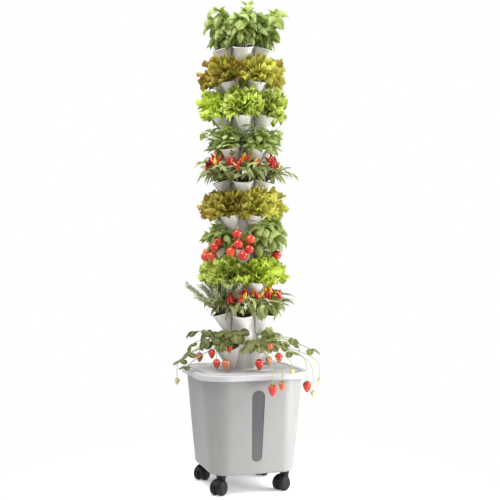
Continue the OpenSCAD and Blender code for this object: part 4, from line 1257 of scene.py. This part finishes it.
# The centre of each, and its cup
TOMATOES = [
    ((-0.048, -0.094, 0.747), 1), ((-0.011, -0.106, 0.732), 1), ((-0.048, -0.104, 0.717), 1),
    ((-0.066, -0.094, 0.696), 1), ((-0.017, -0.110, 0.703), 1), ((-0.037, -0.116, 0.685), 1),
    ((-0.090, -0.040, 0.726), 0), ((-0.110, 0.004, 0.694), 0), ((-0.112, -0.052, 0.683), 0),
    ((-0.124, -0.026, 0.681), 0), ((0.082, -0.068, 0.687), 2), ((0.093, 0.066, 0.693), 3),
    ((0.102, 0.034, 0.689), 3), ((-0.107, -0.063, 0.711), 0), ((-0.030, 0.106, 0.689), 4),
    ((-0.001, 0.111, 0.686), 4),
]


def tomato_profile(r):
    """A slightly flat ball with a dimple at its top."""
    rows = []
    for i in range(15):
        a = math.radians(90 - 180 * i / 14)
        dimple = 0.16 * math.exp(-((math.degrees(a) - 90) / 20) ** 2)
        rows.append((r * math.cos(a) + 1e-5, r * (0.95 * math.sin(a) - dimple)))
    return rows


def hanging_stalk(foot, top):
    """A stalk that rises out of the cup, bows over the rim and ends in a knuckle at top."""
    outward = Vector((top.x - foot.x, top.y - foot.y, 0))
    fork = foot + outward * 0.35 + Vector((0, 0, max(top.z - foot.z, 0.004) + 0.012))
    knuckle = top + Vector((0, 0, 0.004))
    return arc(foot, fork, (0, 0, 0.004), 5) + arc(fork, knuckle, (0, 0, 0.004), 5)[1:] + [top]


fruit = Growth(72)
for place, k in TOMATOES:
    centre = Vector(place)
    top = centre + Vector((0, 0, TOMATO_R * 0.80))
    foot = plant_matrix(7, k) @ Vector((0, 0, 0.002))
    tube(g, hanging_stalk(foot, top), [0.0013] * 8 + [0.0011, 0.0018, 0.0011, 0.0014], 6, STEMS, 0.5)
    lean = Matrix.Rotation(g.random.uniform(*FRUIT_LEAN), 4, "X")
    lean = lean @ Matrix.Rotation(g.random.uniform(*FRUIT_LEAN), 4, "Y")
    bead(fruit, Matrix.Translation(centre) @ lean, tomato_profile(fruit.random.uniform(*RIPE_R)), 24,
         fruit.random.uniform(0.0, 0.8), 0.0, fruit.random.choice(TOMATO_RIPENESS))
    calyx(g, Matrix.Translation(top - Vector((0, 0, 0.0004))), 5, 0.0105, 0.0034, GREEN, 50, 12, 0.6)
tomato_plants = g.build("tomato_and_basil_07", [BASIL, STEM, TOMATO], 7)
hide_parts("plants_07_tomato")
tomatoes = fruit.build("tomatoes_ripe", [TOMATO_SKIN])
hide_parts("cherry_tomatoes")

# %% [markdown]
# ## Strawberries
# The lowest tier holds strawberries. A berry is a blunt cone under a ruff of sepals, set with seeds that sit
# in small pits. Seeds could be dots in the material, but a bump that fine is lost on a berry of 30 mm. So the
# seeds are small leaves of their own, spread over the skin in a spiral by the golden angle, as real ones are.

# %% Berry
BERRY_R, BERRY_L = 0.0125, 0.031
# As shares of the berry's radius and length
BERRY_PROFILE = [(0.02, 0.02), (0.45, 0.0), (0.80, -0.07), (0.96, -0.17), (1.0, -0.28), (0.96, -0.40),
                 (0.86, -0.53), (0.70, -0.67), (0.52, -0.80), (0.32, -0.91), (0.14, -0.98), (0.02, -1.0)]
SEEDS, SEED_TURN = 90, 2.39996
SEED_SHAPE = {"widest": 0.5, "tip": 0.6, "rows": 3, "halves": 1, "fold": -0.25, "droop": 0}


def seed_frame(place, size, i, heights, radii):
    """Where seed i lies on the skin, with +Z out of it."""
    z = -BERRY_L * size * (0.06 + 0.90 * i / SEEDS)
    r = float(np.interp(z, heights, radii))
    slope = float(np.interp(z + 0.001, heights, radii)) - r
    a = i * SEED_TURN
    at = place @ Vector((r * math.cos(a), r * math.sin(a), z))
    out = place.to_3x3() @ Vector((math.cos(a), math.sin(a), -slope / 0.001 * 0.6)).normalized()
    return Matrix.Translation(at) @ out.to_track_quat("Z", "X").to_matrix().to_4x4()


def strawberry(fruit, seeds, top, size, tone, unripe):
    """A berry that hangs from top, with its seeds and its ruff of sepals."""
    rnd = fruit.random
    place = Matrix.Translation(top) @ Matrix.Rotation(rnd.uniform(-0.12, 0.12), 4, "X")
    place = place @ Matrix.Rotation(rnd.uniform(0, 6), 4, "Z")
    profile = [(r * BERRY_R * size, z * BERRY_L * size) for r, z in BERRY_PROFILE]
    bead(fruit, place, profile, 22, tone, 0.0, unripe)
    heights = np.array([p[1] for p in profile])[::-1]
    radii = np.array([p[0] for p in profile])[::-1]
    for i in range(SEEDS):
        lay = seed_frame(place, size, i, heights, radii) @ aim((-0.0008, 0, 0.00012), 0, 0)
        leaf(seeds, lay, 0.0016, 0.0009, **SEED_SHAPE)
    return place


print("a berry is", BERRY_L * 1000, "mm long and has", SEEDS, "seeds")

# %% [markdown]
# ### Leaves, flowers and runners
# Each leaf has three broad, toothed leaflets at the end of a long stalk. The stalks of the crown stand up and
# lean out, and the runners reach past the lid on both sides, so those are placed one by one. At the front the
# two plants lean apart, and the column shows between them.

# %% Strawberry leaves
STRAWBERRY_LEAFLET = {"widest": 0.56, "tip": 0.50, "rows": 18, "halves": 4, "fold": 0.30, "cup": 0.5,
                      "teeth": 9}
STRAWBERRY_PETAL = {"widest": 0.6, "tip": 0.5, "rows": 4, "halves": 1, "fold": 0.1, "droop": 30}
LEAFLETS = ((0, 1.0), (82, 0.90), (-82, 0.90))  # each one's turn in degrees, and its share of the size
LEAF_STALK_R, THIN_STALK_R = 0.0013, 0.0009


def trefoil(g, place, size, tone=None):
    """Three toothed leaflets at the end of a stalk."""
    rnd = g.random
    shade = rnd.uniform(0.05, 0.95) if tone is None else tone
    for turn, share in LEAFLETS:
        length = size * share * rnd.uniform(0.9, 1.08)
        at = place @ aim((0, 0, 0), turn + rnd.uniform(-8, 8), rnd.uniform(-6, 14), rnd.uniform(-10, 10))
        leaf(g, at, length, length * 0.90, droop=rnd.uniform(20, 70),
             tone=unit(shade + rnd.uniform(-0.15, 0.15)), **STRAWBERRY_LEAFLET)


def strawberry_leaf(g, foot, crown, bow, size, pitch, tone=None):
    """A stalk from foot to crown, bowed upwards, with its leaflets at the end."""
    path = arc(foot, crown, bow, 8)
    tube(g, path, [LEAF_STALK_R] * 9, 5, STEMS, 0.5)
    way = path[-1] - path[-2]
    trefoil(g, aim(path[-1], math.degrees(math.atan2(way.y, way.x)), pitch), size, tone)


def strawberry_flower(g, home):
    """A white flower of five petals on a short stalk."""
    yaw = g.random.uniform(-80, 80)
    reach = aim((0, 0, 0), yaw, g.random.uniform(15, 50)) @ Vector((g.random.uniform(0.035, 0.05), 0, 0))
    tip = home @ reach
    tube(g, arc(home @ Vector((0, 0, 0.002)), tip, (0, 0, 0.006), 5), [THIN_STALK_R] * 6, 5, STEMS, 0.5)
    for p in range(5):
        leaf(g, aim(tip, 72 * p, 30), 0.0065, 0.0058, GREEN, **STRAWBERRY_PETAL)


# %% [markdown]
# ### The crowns
# Every cup's plant is grown by the same rules, and its leaves spread by chance. The cups on the left lie
# away from the key light, and the photograph shows their leaves darker, so their tones are kept low.

# %% Strawberry crowns
CROWN_LEAVES, CROWN_FLOWERS = 8, 2
CROWN_TURN = {3: -24, 4: 24}  # the two front plants lean apart, in degrees
SHADY_CUPS, SHADE_TONES, SUN_TONES = (2, 3), (0.0, 0.35), (0.2, 1.0)
g, fruit, seeds = Growth(101), Growth(102), Growth(103)
rnd = g.random
for k in range(CUPS):
    home = plant_matrix(10, k)
    for s in range(CROWN_LEAVES):
        yaw = CROWN_TURN.get(k, 0) + 95 * math.sin(s * SPIRAL + 0.9)
        foot = home @ Vector((0.005 * math.cos(s), 0.005 * math.sin(s), 0.001))
        far = rnd.uniform(0.030, 0.066)
        crown = home @ (aim((0, 0, 0), yaw, 0) @ Vector((far, 0, rnd.uniform(0.004, 0.052))))
        tone = rnd.uniform(*(SHADE_TONES if k in SHADY_CUPS else SUN_TONES))
        strawberry_leaf(g, foot, crown, (0, 0, 0.012), rnd.uniform(0.026, 0.037), rnd.uniform(-60, 0), tone)
    for s in range(CROWN_FLOWERS):
        strawberry_flower(g, home)
print("faces so far:", len(g.faces))

# %% [markdown]
# ### Hanging berries
# A berry's stalk rises out of its cup, bows over the rim, turns and drops straight down under the berry's
# weight. The turn is a smooth curve, since a soft stalk has no kink. As with the tomatoes, the photograph
# shows where each berry hangs, and a few small green ones hang far out.

# %% Hanging berries
# Top of the berry, height of the stalk's bend, cup, size and how unripe it is
BERRIES = [
    ((-0.117, -0.068, 0.413), 0.424, 3, 0.86, 0.0), ((-0.107, -0.084, 0.385), 0.421, 3, 0.86, 0.0),
    ((-0.082, -0.097, 0.385), 0.423, 3, 1.0, 0.25), ((0.010, -0.124, 0.385), 0.422, 4, 1.0, 0.0),
    ((0.068, -0.127, 0.402), 0.424, 4, 0.90, 0.0), ((0.029, -0.188, 0.320), 0.372, 4, 1.06, 0.0),
    ((0.058, -0.188, 0.327), 0.375, 4, 0.82, 0.12), ((0.189, -0.039, 0.303), 0.372, 0, 1.04, 0.0),
    ((-0.190, 0.060, 0.316), 0.368, 2, 0.62, 0.9), ((0.038, 0.124, 0.386), 0.422, 1, 0.9, 0.0),
    ((-0.110, 0.100, 0.385), 0.420, 2, 0.9, 0.2), ((-0.066, -0.074, 0.427), 0.438, 3, 0.80, 0.0),
    ((0.039, -0.122, 0.392), 0.424, 4, 0.84, 0.35), ((0.045, -0.112, 0.430), 0.440, 4, 0.80, 0.1),
    ((0.203, -0.053, 0.276), 0.360, 0, 0.56, 0.8), ((0.210, -0.086, 0.318), 0.372, 0, 0.42, 1.0),
    ((0.090, -0.178, 0.362), 0.384, 4, 0.50, 0.9),
]


def berry_stalk(foot, top, bend):
    """Points from foot up to the height bend above top, round a smooth turn and down to top."""
    knee = Vector((top.x, top.y, bend))
    rise = arc(foot, knee, (0, 0, 0.010), 10)[:9]
    drop = knee.lerp(top, 0.4)
    turn = [rise[-1].lerp(knee, t).lerp(knee.lerp(drop, t), t) for t in (0.2, 0.4, 0.6, 0.8)]
    return rise + turn + [drop, drop.lerp(top, 0.5), top]


for place, bend, k, share, unripe in BERRIES:
    top = Vector(place)
    stalk = berry_stalk(plant_matrix(10, k) @ Vector((0.004, 0, 0.002)), top, bend)
    tube(g, stalk, [THIN_STALK_R] * len(stalk), 5, STEMS, 0.3)
    hung = strawberry(fruit, seeds, top, share, rnd.uniform(0.0, 0.35), unripe)
    ruff = hung @ Matrix.Translation((0, 0, 0.0005))
    calyx(g, ruff, 10, 0.0125 * share, 0.0050 * share, LEAVES, 60, 22, 0.6)

# %% [markdown]
# ### The runners
# A runner is a long stalk that reaches out from the crown to root a young plant. Here the runners end in
# leaves that hang past the lid, higher up near the column and lower down at the sides.

# %% Runners
# Where each ends, its cup and its leaflets' size
RUNNERS = [
    ((-0.150, 0.010, 0.460), 3, 0.030), ((-0.135, -0.055, 0.438), 3, 0.030),
    ((-0.175, -0.030, 0.398), 2, 0.028), ((-0.190, 0.000, 0.376), 2, 0.026),
    ((-0.185, -0.040, 0.362), 3, 0.022), ((0.150, -0.050, 0.420), 0, 0.032),
    ((0.190, -0.066, 0.404), 0, 0.030), ((0.120, -0.110, 0.440), 4, 0.032),
    ((0.100, -0.135, 0.405), 4, 0.026), ((0.150, 0.070, 0.410), 0, 0.028),
    ((-0.130, 0.120, 0.410), 2, 0.028),
]
for place, k, size in RUNNERS:
    foot = plant_matrix(10, k) @ Vector((0, 0, 0.002))
    # Runners on the left, away from the key light, get a low tone like the shady cups: painted shade
    tone = rnd.uniform(0.0, 0.3) if place[0] < 0 else None
    strawberry_leaf(g, foot, Vector(place), (0, 0, 0.016), size * 1.05, rnd.uniform(-55, 0), tone)
strawberry_plants = g.build("strawberry_plants", [STRAWBERRY, STEM, PETAL], 10)
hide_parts("plants_10_strawberry")
berries = fruit.build("strawberries_ripe", [BERRY_SKIN])
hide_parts("strawberries")
seed_piece = seeds.build("strawberry_seeds", [SEED])

# %% [markdown]
# ## Floor
# The photograph is cut out on white, with no floor to be seen, only a soft shadow under the tank. A plain
# white floor would show as a grey plane with a horizon. So the floor fades into the white world a little way
# from the tower: near it, a matt surface catches the shadow and a glow lifts it to white, and farther out it
# is plain white to rays that look at it. To all other rays it stays matt, so it lights the tower as a real
# floor would.

# %% Floor
FLOOR_GLOW, FLOOR_SIZE = 0.30, 6
SHADOW_FADE = [(0.22, grey(0.0)), (0.75, grey(1.0))]


def floor_finish():
    """Matt white that catches a shadow near the tower and fades into the white behind it."""
    material, nodes, links = new_material("floor_white")
    tone = ramp(nodes, links, noise(nodes, links, 2.0), [(0.3, grey(0.90)), (0.7, grey(0.94))])
    matt = principled(nodes, links, tone, Roughness=0.9)
    glow, lifted = nodes.new("ShaderNodeEmission"), nodes.new("ShaderNodeAddShader")
    glow.inputs["Strength"].default_value = FLOOR_GLOW
    links.new(matt, lifted.inputs[0])
    links.new(glow.outputs["Emission"], lifted.inputs[1])
    distance = nodes.new("ShaderNodeVectorMath")
    distance.operation = "LENGTH"
    links.new(nodes.new("ShaderNodeTexCoord").outputs["Object"], distance.inputs[0])
    far = ramp(nodes, links, distance.outputs["Value"], SHADOW_FADE)
    white = nodes.new("ShaderNodeEmission").outputs["Emission"]
    faded = mix_shaders(nodes, links, far, lifted.outputs["Shader"], white)
    output(nodes, links, mix_shaders(nodes, links, looking(nodes, links), matt, faded))
    return material


corners = [(-FLOOR_SIZE, -FLOOR_SIZE, 0), (FLOOR_SIZE, -FLOOR_SIZE, 0), (FLOOR_SIZE, FLOOR_SIZE, 0),
           (-FLOOR_SIZE, FLOOR_SIZE, 0)]
floor_mesh = bpy.data.meshes.new("floor")
floor_mesh.from_pydata(corners, [], [(0, 1, 2, 3)])
floor_mesh.materials.append(floor_finish())
floor = bpy.data.objects.new("floor", floor_mesh)
bpy.context.collection.objects.link(floor)
print("floor:", 2 * FLOOR_SIZE, "m wide")
